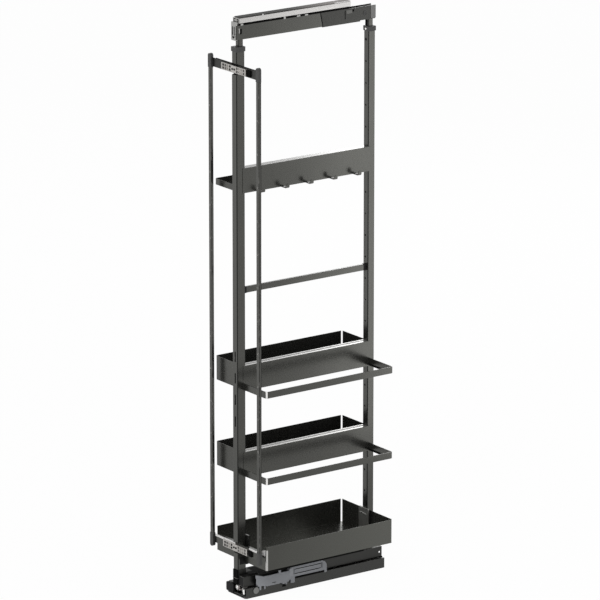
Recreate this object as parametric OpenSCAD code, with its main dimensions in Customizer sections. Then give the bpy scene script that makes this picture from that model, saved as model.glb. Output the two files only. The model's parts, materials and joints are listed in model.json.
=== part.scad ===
// Pull-out pantry frame: a floor runner with a soft-close damper, a sliding frame with baskets,
// a telescopic top guide that can be raised, and an adjustable carrier for the cabinet door.
// Millimetres. +Z is up, the frame pulls out towards -Y, and the origin lies on the cabinet floor.

/* [Uprights] */
// Width of both uprights
upright_w = 23; // [20:0.5:30]
// Depth of the front upright
front_upright_d = 28.5; // [26:0.5:36]
// Depth of the rear upright
rear_upright_d = 23.5; // [21:0.5:30]
// Wall of the upright tubes
upright_wall = 1.5; // [1:0.1:2]
// Height of the uprights' upper ends
upright_top = 1625; // [1620:1:1900]
// Height of the front upright's lower end
front_upright_bottom = 80; // [70:1:95]
// Distance between the slots or holes along an upright
hole_pitch = 65; // [32:1:96]
// Length of the slots in the front upright
slot_l = 31; // [15:1:34]
// Width of the slots in the front upright
slot_w = 5; // [2:0.5:6]
// Height of the lowest slot's centre
slot_first_z = 529.5; // [190:0.5:600]
// Number of slots in the front upright
slot_count = 4; // [1:1:14]
// Diameter of the holes in the rear upright
rear_hole_d = 5.5; // [3:0.5:8]
// Height of the lowest hole in the rear upright
rear_hole_first_z = 104.5; // [90:0.5:200]
// Number of holes in the rear upright
rear_hole_count = 24; // [1:1:24]

/* [Baskets] */
// Width of the bottom basket
basket_w = 253; // [220:1:280]
// Depth of every basket, front to back
basket_d = 455; // [400:1:520]
// Lap of the baskets' ends over each upright
basket_lap = 8.5; // [4:0.5:10]
// Height of the baskets' walls
basket_h = 72; // [60:1:110]
// Thickness of the sheet metal
sheet = 1.2; // [0.8:0.1:2]
// Outer radius of the baskets' upright corners
basket_corner_r = 6; // [3:0.5:12]
// Height of the bottom basket's underside
bottom_basket_z = 104; // [100:1:120]
// Height from one basket to the next
basket_pitch = 260; // [200:1:300]
// Height of the bottom basket's front wall
front_wall_h = 48; // [30:1:50]
// Depth of the folded rim on the bottom basket's front wall
front_rim_d = 10; // [5:0.5:12]
// Width of the plates that hang the bottom basket on the uprights
hanger_w = 45; // [30:1:60]
// Thickness of those plates
hanger_t = 6; // [3:0.5:8]
// Height of those plates
hanger_h = 78; // [60:1:90]

/* [Towel rails] */
// Height of the flat bar
towel_bar_h = 20; // [10:1:30]
// Thickness of the flat bar
towel_bar_t = 3; // [2:0.5:6]
// Outer radius of the bent corners
towel_corner_r = 7; // [5:0.5:15]
// Height of the bar above the basket's underside
towel_bar_rise = 0.2; // [0:0.1:20]

/* [Hook shelf] */
// Height of the shelf's underside
shelf_z = 1209.5; // [1100:0.5:1300]
// Height of the hook panel
panel_h = 73.5; // [50:0.5:100]
// Height of the shelf's rim
shelf_rim_h = 18; // [10:0.1:30]
// Number of hooks
hook_count = 5; // [3:1:6]
// Distance between hooks
hook_pitch = 85.5; // [40:0.5:95]
// Width of a hook's tongue
hook_w = 12; // [10:0.5:24]
// Reach of a hook's tongue from the panel to its bend
hook_reach = 21.5; // [12:0.5:40]
// Thickness of a hook's tongue
hook_t = 2.5; // [2:0.1:4]
// Height of the upturned tip above the tongue
hook_tip_h = 11; // [11:0.5:20]

/* [Crossbar] */
// Height of the crossbar's underside
crossbar_z = 910.5; // [800:0.5:1000]
// Height of the crossbar
crossbar_h = 18.5; // [10:0.5:25]
// Thickness of the crossbar
crossbar_t = 8; // [5:0.5:15]
// Length of each end plug
crossbar_plug_l = 9.5; // [5:0.5:20]

/* [Door carrier] */
// Distance between the middles of the two door rods
door_rod_spread = 236; // [200:1:260]
// Width of a door rod
door_rod_w = 13; // [10:0.5:18]
// Thickness of a door rod
door_rod_t = 8; // [4:0.5:9]
// Height of the upper door bar's middle
door_bar_upper_z = 1574.5; // [1540:0.5:1590]
// Height of the lower door bar's middle
door_bar_lower_z = 146.5; // [135:0.5:160]
// Height of a door bar
door_bar_h = 26; // [20:0.5:30]
// Thickness of a door bar
door_bar_t = 2.2; // [1.5:0.1:3]
// Width of a door adjuster
adjuster_w = 120; // [80:1:150]
// Height of a door adjuster
adjuster_h = 20; // [16:0.5:24]
// Thickness of a door adjuster
adjuster_t = 6; // [4:0.5:8]
// Height of the connectors at the rods' ends
connector_h = 41; // [38:1:60]
// Wall of the connectors round a rod
connector_wall = 1; // [0.8:0.1:3]
// Adjustment of the door to each side, sideways and in height
door_adjust = 3; // [1:0.5:4]
// Diameter of the door screw holes
door_hole_d = 4.4; // [3:0.1:6]
// Distance between the door screw holes
door_hole_pitch = 98; // [60:1:98]
// Number of holes in each rod
door_hole_count = 13; // [2:1:13]
// Height of the lowest door screw hole
door_hole_first_z = 270.6; // [220:0.1:300]

/* [Floor runner] */
// Width of the base rail
base_w = 94; // [92:1:120]
// Length of the base rail behind the rear upright
base_rear_l = 15; // [12:0.5:30]
// Height of the base rail's walls
base_h = 31; // [30:0.5:36]
// Wall of the base rail
base_wall = 2.5; // [2:0.1:3]
// Thickness of the base rail's floor
base_floor_t = 3; // [2:0.1:3.5]
// Width of the lip over the base rail's rollers
base_lip_w = 5.5; // [5:0.1:6]
// Distance from the base rail's middle to its screw holes, sideways
floor_hole_x = 26; // [20:0.5:28]
// Distance between the screw holes, front to back
floor_hole_spread_y = 384; // [200:1:420]
// Diameter of the floor screw holes
floor_hole_d = 6.4; // [4:0.1:8]
// Diameter of the rollers that carry the frame at the front
front_roller_d = 21; // [18:0.5:22]
// Diameter of the rollers at the base rail's front end
base_roller_d = 15; // [12:0.5:16]
// Diameter of the rollers at the rear of the carriage
carriage_roller_d = 20; // [17:0.5:21]
// Diameter of the rollers at the rear of the beam
beam_roller_d = 14; // [10:0.5:15]
// Diameter of the rollers' axles
axle_d = 6; // [4:0.5:6]
// Radial play of a roller on its axle
roller_play = 0.05; // [0.02:0.01:0.1]
// Gap between moving pieces that run along each other
run_gap = 0.3; // [0.2:0.05:0.4]
// Width of the frame's bottom beam
beam_w = 73; // [72:0.5:76]
// Height of the bottom beam
beam_h = 30.6; // [24:0.2:34]
// Wall of the bottom beam
beam_wall = 2.5; // [1.5:0.1:3.5]

/* [Soft-close damper] */
// Length of the damper's front housing
damper_front_l = 118; // [112:1:140]
// Length of the damper's rear cover
damper_rear_l = 136; // [120:1:150]
// Width of the damper
damper_w = 12.5; // [12:0.1:16]
// Height of the front housing
damper_front_h = 28; // [22:0.5:32]
// Height of the rear cover
damper_rear_h = 37; // [32:0.5:40]
// Wall of the damper's housings
damper_wall = 1.5; // [1:0.1:2]

/* [Top guide] */
// Side of the square inner tubes
inner_tube_w = 15.5; // [12:0.5:16]
// Wall of the inner tubes
inner_tube_wall = 1.5; // [1:0.1:2.5]
// Length of the inner tubes below the uprights' upper ends
inner_tube_hidden_l = 290; // [250:1:350]
// Height of the collars on the uprights
collar_h = 14; // [8:0.5:20]
// Overhang of the collars round the uprights
collar_proud = 1.8; // [0.5:0.1:3]
// Height from the collars to the top bar
top_gap = 21; // [10:0.5:60]
// Height of the top bar
top_bar_h = 41; // [40:0.5:50]
// Width of the top bar's channel
top_channel_w = 22; // [21:0.5:26]
// Wall of the top bar's channel
top_channel_wall = 2; // [1.5:0.1:2.5]
// Length of the front cover over the channel
top_cover_l = 301.5; // [200:0.5:350]
// Thickness of the front cover over the channel
top_cover_t = 1; // [0.6:0.1:2]
// Width of the telescope rail
telescope_w = 28; // [26:0.5:34]
// Height of the telescope rail
telescope_h = 14; // [12:0.5:18]
// Width of the ceiling strip
ceiling_strip_w = 24; // [20:0.5:30]
// Thickness of the ceiling strip
ceiling_strip_t = 2.5; // [2:0.1:4]
// Length of the ceiling strip and of the telescope rail
telescope_l = 391; // [350:1:420]
// Distance between the two rows of ceiling screw holes
ceiling_hole_spread_x = 16; // [14:0.5:17]
// Distance between the ceiling screw holes, front to back
ceiling_hole_spread_y = 260; // [150:1:300]
// Diameter of the ceiling screw holes
ceiling_hole_d = 4.4; // [3:0.1:4.6]

/* [Hidden] */
$fn = 64;

// Colours of the finishes
anthracite = "#4b4b47";
dark_steel = "#3a3a38";
black_plastic = "#18181a";
damper_grey = "#7d8084";
bright_steel = "#c9c9c6";
silver = "#cfcdc8";

// Play between two pieces that are fixed to each other, such as a plug in its tube
fixed_play = 0.1;
// A cut runs this far past the faces that it opens
cut = 1;

// Uprights: they stand inside the baskets' ends, and the frame's depth follows from the baskets
upright_clear = basket_d - 2 * basket_lap;
upright_x = [-upright_w / 2, upright_w / 2];
front_upright_y = [-upright_clear / 2 - front_upright_d, -upright_clear / 2];
rear_upright_y = [upright_clear / 2, upright_clear / 2 + rear_upright_d];

// Runner, from the floor up: the beam's underside sets the height of the rollers beneath it
base_front_y = front_upright_y[0] + 1.5;
base_y = [base_front_y, rear_upright_y[1] + base_rear_l];
base_x = base_w / 2;
base_inner_x = base_x - base_wall;
lip_z = base_h - 2.5;
lip_x = base_x - base_lip_w;
beam_z = base_h + 2.8;
beam_top = beam_z + beam_h;
beam_y = [base_front_y, base_y[1] - 2];
axle_r = axle_d / 2;

// Carriage: two rails inside the base rail, with a groove for the beam's rollers on their inner sides
web_out = lip_x - 5;
web_in = web_out - 2.5;
web_z = [6, base_h - 0.5];
flange_z = web_z[1] - 2.2;
flange_x = lip_x - 0.5;
groove_x = web_in - 6;
carriage_y = [base_front_y, base_y[1] - 10];
groove_top_z = web_z[1] - 2.5;
plate_t = 2.5;
carriage_cap_t = 5;
carriage_cap_x = [-base_x + 2.5, -9];
carriage_cap_z = [web_z[0], beam_z - 0.4];
carriage_cap_r = 5;

// Rollers: where each axle lies
front_roller_r = front_roller_d / 2;
front_axle_y = base_front_y + front_roller_r + 0.5;
front_axle_z = beam_z - run_gap - front_roller_r;
center_roller_w = 12;
base_roller_r = base_roller_d / 2;
base_axle_y = base_front_y + 36.5;
base_axle_z = flange_z - run_gap - base_roller_r;
carriage_roller_r = carriage_roller_d / 2;
carriage_axle_y = base_y[1] - 51;
carriage_axle_z = lip_z - run_gap - carriage_roller_r;
track_z = carriage_axle_z - carriage_roller_r - run_gap;
beam_roller_r = beam_roller_d / 2;
beam_axle_y = beam_y[1] - 19;
beam_axle_z = groove_top_z - run_gap - beam_roller_r;
groove_floor_z = beam_axle_z - beam_roller_r - run_gap;
outer_roller_x = [web_out + 0.8, base_inner_x - 0.5];
inner_roller_x = [groove_x - 1.2, web_in - run_gap];
axle_bore_r = axle_r + roller_play;
bolt_head_r = 10;
bolt_head_t = 2.5;
bracket_x = [inner_roller_x[0] - 4, inner_roller_x[0] - 1.2];
bracket_drop = 6;
bracket_half_l = 14;
beam_hole_r = 3;
beam_hole_y = beam_y[1] - 8.5;
beam_hole_z = beam_z + 14;
beam_step_l = 16;
base_corner_r = 8;

// Damper on the base rail's right wall
damper_x = [base_x + 5 - damper_w, base_x + 5];
damper_y = [base_front_y + 35, base_front_y + 35 + damper_front_l];
cover_y = [damper_y[1], damper_y[1] + damper_rear_l];
damper_floor_t = 3;
damper_floor_z = base_h + damper_floor_t;
leg_x = [base_x, damper_x[1]];
front_leg_y = [base_axle_y + bolt_head_r + 1, base_axle_y + bolt_head_r + 6];
second_leg_y = [damper_y[0] + 29, damper_y[0] + 33];
lock_leg_y = [damper_y[1] - 24, damper_y[1] - 8];
cover_leg_y = [cover_y[0] + 6, cover_y[0] + 20];
rear_leg_y = [cover_y[1] - 9, cover_y[1] - 3];
leg_drop = 11;
skirt_drop = 4;
lug_h = 8;
cover_front_r = 12;
cover_rear_r = 20;
cover_gap_h = 6.5;
cover_hollow_h = 12;
groove_h = 1.6;
groove_depth = 0.8;
shuttle_x = [damper_x[0] + 0.7, damper_x[1] - damper_wall - 0.5];
shuttle_l = 20;
shuttle_z = [damper_floor_z + run_gap, damper_floor_z + 7.5];
shuttle_y = [cover_y[0] - 1 - shuttle_l, cover_y[0] - 1];
ear_t = 1.8;
catch_x = [shuttle_x[0] + ear_t + run_gap, shuttle_x[1] - ear_t - run_gap];
catch_pivot_y = shuttle_y[0] + 8;
catch_pivot_z = damper_floor_z + 4.5;
catch_pin_r = 1.5;
catch_boss_r = 2.6;
catch_reach = 30;
rod_r = 2;
rod_x = (damper_x[0] + damper_x[1]) / 2;
rod_z = damper_floor_z + 4.7;
cylinder_r = 4.2;
cylinder_bore_r = 3.2;
cylinder_y = [cover_y[0] + 4, cover_y[1] - 8];
cylinder_cap_l = 8;
piston_y = [cylinder_y[1] - 44, cylinder_y[1] - 36];
striker_r = 2.5;
striker_z = base_h + 15;
striker_y = catch_pivot_y - 14;
striker_flange_r = 5;
striker_flange_t = 1.5;

// Foot under the front upright
foot_x = [-upright_w / 2 + 0.5, upright_w / 2 - 0.5];
foot_y = [front_upright_y[0] - 2.5, front_upright_y[1]];
foot_z = [beam_z + beam_wall, front_upright_bottom];
plug_l = 15;

// Baskets
basket_x = basket_w / 2;
basket_y = [-basket_d / 2, basket_d / 2];
lower_basket_z = bottom_basket_z + basket_pitch;
upper_basket_z = bottom_basket_z + 2 * basket_pitch;
half_basket_x = [-basket_x, upright_x[0]];
panel_x = [upright_x[1], upright_x[1] + sheet];
notch_play = 0.3;
hook_bend_r = 3;
side_beam_drop = 4;
corner_slit = 4.5;
shelf_drop = 1;
hook_shift = -2.5;
rear_hole_x = -1.5;

// Door carrier: bar, adjuster and plate lie in a recess of the front upright
recess_y = front_upright_y[0] + 6;
adjuster_plate_t = 2;
door_bar_y = [recess_y - 0.6 - door_bar_t, recess_y - 0.6];
adjuster_y = [door_bar_y[0] - run_gap - adjuster_t, door_bar_y[0] - run_gap];
boss_x = 8;
boss_z = 4;
window_x = boss_x + door_adjust + 1;
window_z = boss_z + 0.5;
recess_z = door_bar_h / 2 + door_adjust + 0.5;
door_rod_y = [adjuster_y[0], adjuster_y[0] + door_rod_t];
door_rod_x = door_rod_spread / 2;
connector_x = door_rod_w / 2 + connector_wall;
connector_y = [door_rod_y[0] - connector_wall, door_rod_y[1] + connector_wall];
connector_end_r = connector_x - 0.5;
rod_end_rise = 14;
pocket_depth = 2.5;
screw_head_r = 3.2;
screw_head_t = 1.5;
adjuster_screw_x = 5;

// Top guide
tube_inset = upright_wall + 1 + inner_tube_w / 2;
front_tube_y = front_upright_y[1] - tube_inset;
rear_tube_y = rear_upright_y[0] + tube_inset;
collar_z = [upright_top, upright_top + collar_h];
collar_bore = inner_tube_w + 2 * run_gap;
collar_plug_l = 15;
top_bar_z = collar_z[1] + top_gap;
top_bar_top = top_bar_z + top_bar_h;
top_channel_y = [front_upright_y[0] + 4, rear_upright_y[1]];
channel_x = top_channel_w / 2;
channel_lip_t = 2.5;
channel_lip_drop = 6;
channel_floor_z = [top_bar_z + 3, top_bar_z + 5.5];
channel_step_y = rear_upright_y[0] - 30;
cover_x = channel_x + top_cover_t;
top_cover_y = [front_upright_y[0], front_upright_y[0] + top_cover_l];
cover_slant = 8.5;
tee_web_x = 3;
tee_head_x = 6;
tee_head_t = 3;
tee_play = 0.5;
slot_edge_x = tee_web_x + 1;
channel_lip_top = top_bar_top - channel_lip_drop;
tee_head_top = channel_lip_top - channel_lip_t - tee_play;
inner_tube_top = tee_head_top - tee_head_t - 8;
telescope_z = [top_bar_top + 7, top_bar_top + 7 + telescope_h];
telescope_y = [top_channel_y[0] + 5.5, top_channel_y[0] + 5.5 + telescope_l];
telescope_wall = 2;
telescope_x = telescope_w / 2;
ceiling_z = telescope_z[1] + tee_play;
ceiling_head_top = telescope_z[1] - channel_lip_t - tee_play;
front_cap_y = [top_channel_y[0] - 7, top_channel_y[0]];
front_cap_x = 10;
front_cap_z = [top_bar_z - 1.5, top_bar_top + 11];
rear_cap_l = 16;
rear_cap_t = 1.2;
ceiling_hole_first_y = telescope_y[0] + 87;

// A box between two limits along each axis
module span(x, y, z) {
    translate([x[0], y[0], z[0]]) cube([x[1] - x[0], y[1] - y[0], z[1] - z[0]]);
}

// The same shape on the left and on the right
module both_sides() {
    children();
    mirror([1, 0, 0]) children();
}

// A rectangle with round corners
module round_rect(x, y, r) {
    translate([x[0] + r, y[0]]) square([x[1] - x[0] - 2 * r, y[1] - y[0]]);
    translate([x[0], y[0] + r]) square([x[1] - x[0], y[1] - y[0] - 2 * r]);
    for (cx = [x[0] + r, x[1] - r], cy = [y[0] + r, y[1] - r])
        translate([cx, cy]) circle(r = r);
}

// A flat shape drawn across X and Z, with its thickness along Y
module slab_xz(y) {
    translate([0, y[1], 0]) rotate([90, 0, 0]) linear_extrude(y[1] - y[0]) children();
}

// A flat shape drawn across Y and Z, with its thickness along X
module slab_yz(x) {
    translate([x[0], 0, 0]) rotate([90, 0, 90]) linear_extrude(x[1] - x[0]) children();
}

// A round bar along X
module bar_x(x, r) {
    translate([x[0], 0, 0]) rotate([0, 90, 0]) cylinder(h = x[1] - x[0], r = r);
}

// A round bar along Y
module bar_y(y, r) {
    translate([0, y[0], 0]) rotate([-90, 0, 0]) cylinder(h = y[1] - y[0], r = r);
}

// A roller with a bore and chamfered rims
module roller(x, r) {
    rim = 0.8;
    difference() {
        translate([x[0], 0, 0]) rotate([0, 90, 0]) rotate_extrude()
            polygon([[0, 0], [r - rim, 0], [r, rim], [r, x[1] - x[0] - rim], [r - rim, x[1] - x[0]],
                [0, x[1] - x[0]]]);
        bar_x([x[0] - cut, x[1] + cut], axle_bore_r);
    }
}

// A rectangular tube that stands upright
module upright_tube(y, z) {
    difference() {
        span(upright_x, y, z);
        span([upright_x[0] + upright_wall, upright_x[1] - upright_wall],
            [y[0] + upright_wall, y[1] - upright_wall], [z[0] - cut, z[1] + cut]);
    }
}

// An open tray of sheet metal with round upright corners, its two rear ones slit open above the floor
module tray(x, y, z, h) {
    slit_y = [y[1] - corner_slit, y[1] + cut];
    slit_z = [z + sheet, z + h + cut];
    difference() {
        translate([0, 0, z]) linear_extrude(h) round_rect(x, y, basket_corner_r);
        translate([0, 0, z + sheet]) linear_extrude(h)
            round_rect([x[0] + sheet, x[1] - sheet], [y[0] + sheet, y[1] - sheet], basket_corner_r - sheet);
        span([x[0] - cut, x[0] + corner_slit], slit_y, slit_z);
        span([x[1] - corner_slit, x[1] + cut], slit_y, slit_z);
    }
}

// The folded side beam of a basket: its outer wall laps over the uprights
module side_beam(z, h) {
    span(panel_x, basket_y, [z, z + h]);
    for (fz = [z, z + h - sheet])
        span([upright_x[0], panel_x[1]], [front_upright_y[1], rear_upright_y[0]], [fz, fz + sheet]);
}

// A towel rail: a flat bar bent into a hoop that ends at the side beam
module towel_rail(z) {
    outer_x = [-basket_x, basket_x];
    difference() {
        translate([0, 0, z]) linear_extrude(towel_bar_h) round_rect(outer_x, basket_y, towel_corner_r);
        translate([0, 0, z - cut]) linear_extrude(towel_bar_h + 2 * cut)
            round_rect([outer_x[0] + towel_bar_t, outer_x[1] - towel_bar_t],
                [basket_y[0] + towel_bar_t, basket_y[1] - towel_bar_t], towel_corner_r - towel_bar_t);
        span([outer_x[0] - cut, panel_x[1]], [basket_y[0] - cut, basket_y[1] + cut],
            [z - cut, z + towel_bar_h + cut]);
    }
}

// A collar on an upright, with a square hole for the inner tube and a plug that seats in the upright
module collar(y, tube_y, screw_face_y) {
    inside = upright_wall + fixed_play;
    difference() {
        union() {
            span([upright_x[0] - collar_proud, upright_x[1] + collar_proud],
                [y[0] - collar_proud, y[1] + collar_proud], collar_z);
            span([upright_x[0] + inside, upright_x[1] - inside], [y[0] + inside, y[1] - inside],
                [collar_z[0] - collar_plug_l, collar_z[1]]);
        }
        span([-collar_bore / 2, collar_bore / 2], [tube_y - collar_bore / 2, tube_y + collar_bore / 2],
            [collar_z[0] - collar_plug_l - cut, collar_z[1] + cut]);
        translate([0, 0, collar_screw_z])
            bar_y([min(screw_face_y, tube_y), max(screw_face_y, tube_y)], collar_screw_r + fixed_play);
    }
}
collar_screw_z = collar_z[0] + 6;
collar_screw_r = 1.5;

// A recess in the front upright for a door bar and its adjuster
module door_recess(z) {
    span([upright_x[0] - cut, upright_x[1] + cut], [front_upright_y[0] - cut, recess_y],
        [z - recess_z, z + recess_z]);
}

// Runner base
module base_rail() color(dark_steel) difference() {
    union() {
        span([-base_x, base_x], base_y, [0, base_floor_t]);
        both_sides() {
            span([base_inner_x, base_x], base_y, [0, base_h]);
            span([lip_x, base_x], base_y, [lip_z, base_h]);
            span([outer_roller_x[0], base_x], base_y, [0, track_z]);
        }
    }
    for (x = [-floor_hole_x, floor_hole_x], y = [-floor_hole_spread_y / 2, floor_hole_spread_y / 2])
        translate([x, y, -cut]) cylinder(h = base_floor_t + 2 * cut, d = floor_hole_d);
    both_sides() {
        translate([0, base_axle_y, base_axle_z]) bar_x([base_inner_x - cut, base_x + cut], axle_bore_r);
        translate([base_x - base_corner_r, base_y[0] + base_corner_r, -cut]) difference() {
            translate([0, -base_corner_r - cut, 0])
                cube([base_corner_r + cut, base_corner_r + cut, base_h + 2 * cut]);
            cylinder(h = base_h + 2 * cut, r = base_corner_r);
        }
    }
}

module rear_stop() color(black_plastic) {
    stop_t = 3;
    stop_x = outer_roller_x[0] - 0.3;
    buffer_l = 5;
    span([-stop_x, stop_x], [base_y[1] - stop_t, base_y[1]], [base_floor_t, beam_z - 0.6]);
    for (x = [-12, 12])
        translate([x, 0, base_h / 2]) bar_y([base_y[1] - stop_t - buffer_l, base_y[1] - stop_t], 5);
}

module base_roller_bolts() color(bright_steel) both_sides()
    translate([0, base_axle_y, base_axle_z]) {
        bar_x([outer_roller_x[0], base_x + bolt_head_t], axle_r);
        bar_x([base_x, base_x + bolt_head_t], bolt_head_r);
    }

module base_rollers() color(bright_steel) both_sides()
    translate([0, base_axle_y, base_axle_z]) roller(outer_roller_x, base_roller_r);

// Damper
module damper_housing() color(damper_grey) {
    top_z = base_h + damper_front_h;
    union() {
        span(damper_x, [damper_y[0] + 8, damper_y[1]], [base_h, damper_floor_z]);
        slab_yz([damper_x[1] - damper_wall, damper_x[1]])
            polygon([[damper_y[0], base_h + 9], [damper_y[0] + 9, base_h + 2], [damper_y[0] + 28, base_h + 2],
                [damper_y[0] + 38, base_h - skirt_drop], [damper_y[1], base_h - skirt_drop],
                [damper_y[1], top_z], [damper_y[0], top_z]]);
        span(leg_x, damper_y, [top_z - damper_wall, top_z]);
        slab_yz(leg_x)
            polygon([[damper_y[0], top_z], [damper_y[0], top_z + lug_h], [damper_y[0] + 9, top_z + lug_h - 2],
                [damper_y[0] + 27, top_z]]);
        for (y = [front_leg_y, second_leg_y, lock_leg_y])
            span(leg_x, y, [base_h - leg_drop, damper_floor_z]);
    }
}

module damper_cover() color(damper_grey) {
    top_z = base_h + damper_rear_h;
    inner_x = [damper_x[0] + damper_wall, damper_x[1] - damper_wall];
    difference() {
        union() {
            span(damper_x, cover_y, [base_h, top_z - cover_rear_r]);
            span(damper_x, [cover_y[0], cover_y[1] - cover_rear_r],
                [top_z - cover_rear_r, top_z - cover_front_r]);
            span(damper_x, [cover_y[0] + cover_front_r, cover_y[1] - cover_rear_r],
                [top_z - cover_front_r, top_z]);
            translate([0, cover_y[0] + cover_front_r, top_z - cover_front_r]) bar_x(damper_x, cover_front_r);
            difference() {
                translate([0, cover_y[1] - cover_rear_r, top_z - cover_rear_r]) bar_x(damper_x, cover_rear_r);
                span([damper_x[0] - cut, damper_x[1] + cut], [cover_y[0], cover_y[1] + cut],
                    [top_z - 2 * cover_rear_r - cut, top_z - cover_rear_r]);
            }
            span(leg_x, cover_leg_y, [base_h - leg_drop, damper_floor_z]);
            span(leg_x, rear_leg_y, [base_h - 1, damper_floor_z]);
        }
        span(inner_x, [cover_y[0] - cut, cylinder_y[1]], [damper_floor_z, damper_floor_z + cover_hollow_h]);
        span([damper_x[1] - 3, damper_x[1] + cut], [cover_leg_y[1], rear_leg_y[0]],
            [base_h - cut, base_h + cover_gap_h]);
        for (z = [top_z - 7, top_z - 20.5])
            span([damper_x[1] - groove_depth, damper_x[1] + cut], [cover_leg_y[1], cover_y[1] - 22],
                [z - groove_h, z]);
    }
}

module damper_cylinder() color(bright_steel) translate([rod_x, 0, rod_z]) difference() {
    bar_y(cylinder_y, cylinder_r);
    bar_y([cylinder_y[0] + cylinder_cap_l, cylinder_y[1] - 2], cylinder_bore_r);
    bar_y([cylinder_y[0] - cut, cylinder_y[0] + cylinder_cap_l + cut], rod_r + roller_play);
}

module damper_rod() color(bright_steel) translate([rod_x, 0, rod_z]) {
    bar_y([shuttle_y[1], piston_y[1]], rod_r);
    bar_y(piston_y, cylinder_bore_r - roller_play);
}

module damper_shuttle() color(black_plastic) {
    ear_y = [catch_pivot_y - 4, shuttle_y[1]];
    ear_z = [shuttle_z[0], shuttle_z[1]];
    span(shuttle_x, [ear_y[0], shuttle_y[1]], [shuttle_z[0], shuttle_z[0] + 1]);
    span(shuttle_x, [shuttle_y[1] - 5, shuttle_y[1]], shuttle_z);
    span([shuttle_x[0], shuttle_x[0] + ear_t], ear_y, ear_z);
    span([shuttle_x[1] - ear_t, shuttle_x[1]], ear_y, ear_z);
    translate([0, catch_pivot_y, catch_pivot_z]) bar_x(shuttle_x, catch_pin_r);
}

module damper_catch() color(black_plastic) difference() {
    union() {
        translate([0, catch_pivot_y, catch_pivot_z]) bar_x(catch_x, catch_boss_r);
        span(catch_x, [catch_pivot_y - catch_reach, catch_pivot_y], [catch_pivot_z - 2, catch_pivot_z]);
        span(catch_x, [catch_pivot_y - catch_reach, catch_pivot_y - catch_reach + 5],
            [catch_pivot_z - 2, striker_z - striker_r - 1]);
    }
    translate([0, catch_pivot_y, catch_pivot_z])
        bar_x([catch_x[0] - cut, catch_x[1] + cut], catch_pin_r + roller_play);
}

// Carriage between the base rail and the frame's beam
module carriage_rails() color(dark_steel) both_sides() {
    difference() {
        union() {
            span([web_in, web_out], carriage_y, web_z);
            span([web_out, flange_x], [carriage_y[0], carriage_axle_y - carriage_roller_r - 4],
                [flange_z, web_z[1]]);
            for (z = [[groove_top_z, web_z[1]], [groove_floor_z - 2.5, groove_floor_z]])
                span([groove_x, web_in], [front_axle_y + front_roller_r + 6, carriage_y[1]], z);
            translate([0, carriage_axle_y, carriage_axle_z]) bar_x([web_in, outer_roller_x[1]], axle_r);
        }
        translate([0, front_axle_y, front_axle_z]) bar_x([web_in - cut, web_out + cut], axle_bore_r);
    }
}

module carriage_plates() color(dark_steel) {
    plate_l = 36;
    for (y = [carriage_y[0], (carriage_y[0] + carriage_y[1] - plate_l) / 2, carriage_y[1] - plate_l])
        span([-web_in, web_in], [y, y + plate_l], [web_z[0], web_z[0] + plate_t]);
}

module carriage_cap() color(black_plastic)
    slab_xz([carriage_y[0] - carriage_cap_t, carriage_y[0]]) round_rect(carriage_cap_x, carriage_cap_z, carriage_cap_r);

module front_axle() color(bright_steel) translate([0, front_axle_y, front_axle_z])
    bar_x([-web_out, web_out], axle_r);

module front_rollers() color(bright_steel) translate([0, front_axle_y, front_axle_z]) {
    roller([-center_roller_w / 2, center_roller_w / 2], front_roller_r);
    both_sides() roller(inner_roller_x, front_roller_r);
}

module carriage_rollers() color(bright_steel) both_sides()
    translate([0, carriage_axle_y, carriage_axle_z]) roller(outer_roller_x, carriage_roller_r);

// Frame: beam, uprights and feet
module bottom_beam() color(dark_steel) difference() {
    span([-beam_w / 2, beam_w / 2], beam_y, [beam_z, beam_top]);
    span([-beam_w / 2 + beam_wall, beam_w / 2 - beam_wall], [beam_y[0] - cut, beam_y[1] + cut],
        [beam_z + beam_wall, beam_top - beam_wall]);
    span([foot_x[0] - fixed_play, foot_x[1] + fixed_play], [beam_y[0] - cut, foot_y[1]],
        [foot_z[0], beam_top + cut]);
    span([-beam_w / 2 - cut, foot_x[0]], [beam_y[0] - cut, beam_y[0] + beam_step_l],
        [beam_z + beam_wall, beam_top + cut]);
    translate([0, beam_hole_y, beam_hole_z])
        bar_x([-beam_w / 2 - cut, beam_w / 2 + cut], beam_hole_r);
}

module beam_brackets() color(dark_steel) both_sides() {
    span(bracket_x, [beam_axle_y - bracket_half_l, beam_axle_y + bracket_half_l],
        [beam_axle_z - bracket_drop, beam_z]);
    translate([0, beam_axle_y, beam_axle_z]) bar_x([bracket_x[0], inner_roller_x[1]], axle_r);
}

module beam_rollers() color(bright_steel) both_sides()
    translate([0, beam_axle_y, beam_axle_z]) roller(inner_roller_x, beam_roller_r);

module striker_pin() color(bright_steel) translate([0, striker_y, striker_z]) {
    bar_x([beam_w / 2, catch_x[1]], striker_r);
    bar_x([beam_w / 2, beam_w / 2 + striker_flange_t], striker_flange_r);
}

module front_foot() color(black_plastic) {
    inside = upright_wall + fixed_play;
    span(foot_x, foot_y, foot_z);
    span([upright_x[0] + inside, upright_x[1] - inside],
        [front_upright_y[0] + inside, front_upright_y[1] - inside], [foot_z[0], foot_z[1] + plug_l]);
}

module front_upright() color(anthracite) difference() {
    upright_tube(front_upright_y, [front_upright_bottom, upright_top]);
    for (i = [0 : slot_count - 1])
        span([-slot_w / 2, slot_w / 2], [front_upright_y[0] - cut, front_upright_y[0] + upright_wall + cut],
            [slot_first_z + i * hole_pitch - slot_l / 2, slot_first_z + i * hole_pitch + slot_l / 2]);
    for (z = [door_bar_lower_z, door_bar_upper_z])
        door_recess(z);
}

module rear_upright() color(anthracite) difference() {
    upright_tube(rear_upright_y, [beam_top, upright_top]);
    for (i = [0 : rear_hole_count - 1])
        translate([rear_hole_x, 0, rear_hole_first_z + i * hole_pitch])
            bar_y([rear_upright_y[0] - cut, rear_upright_y[0] + upright_wall + cut], rear_hole_d / 2);
}

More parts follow.
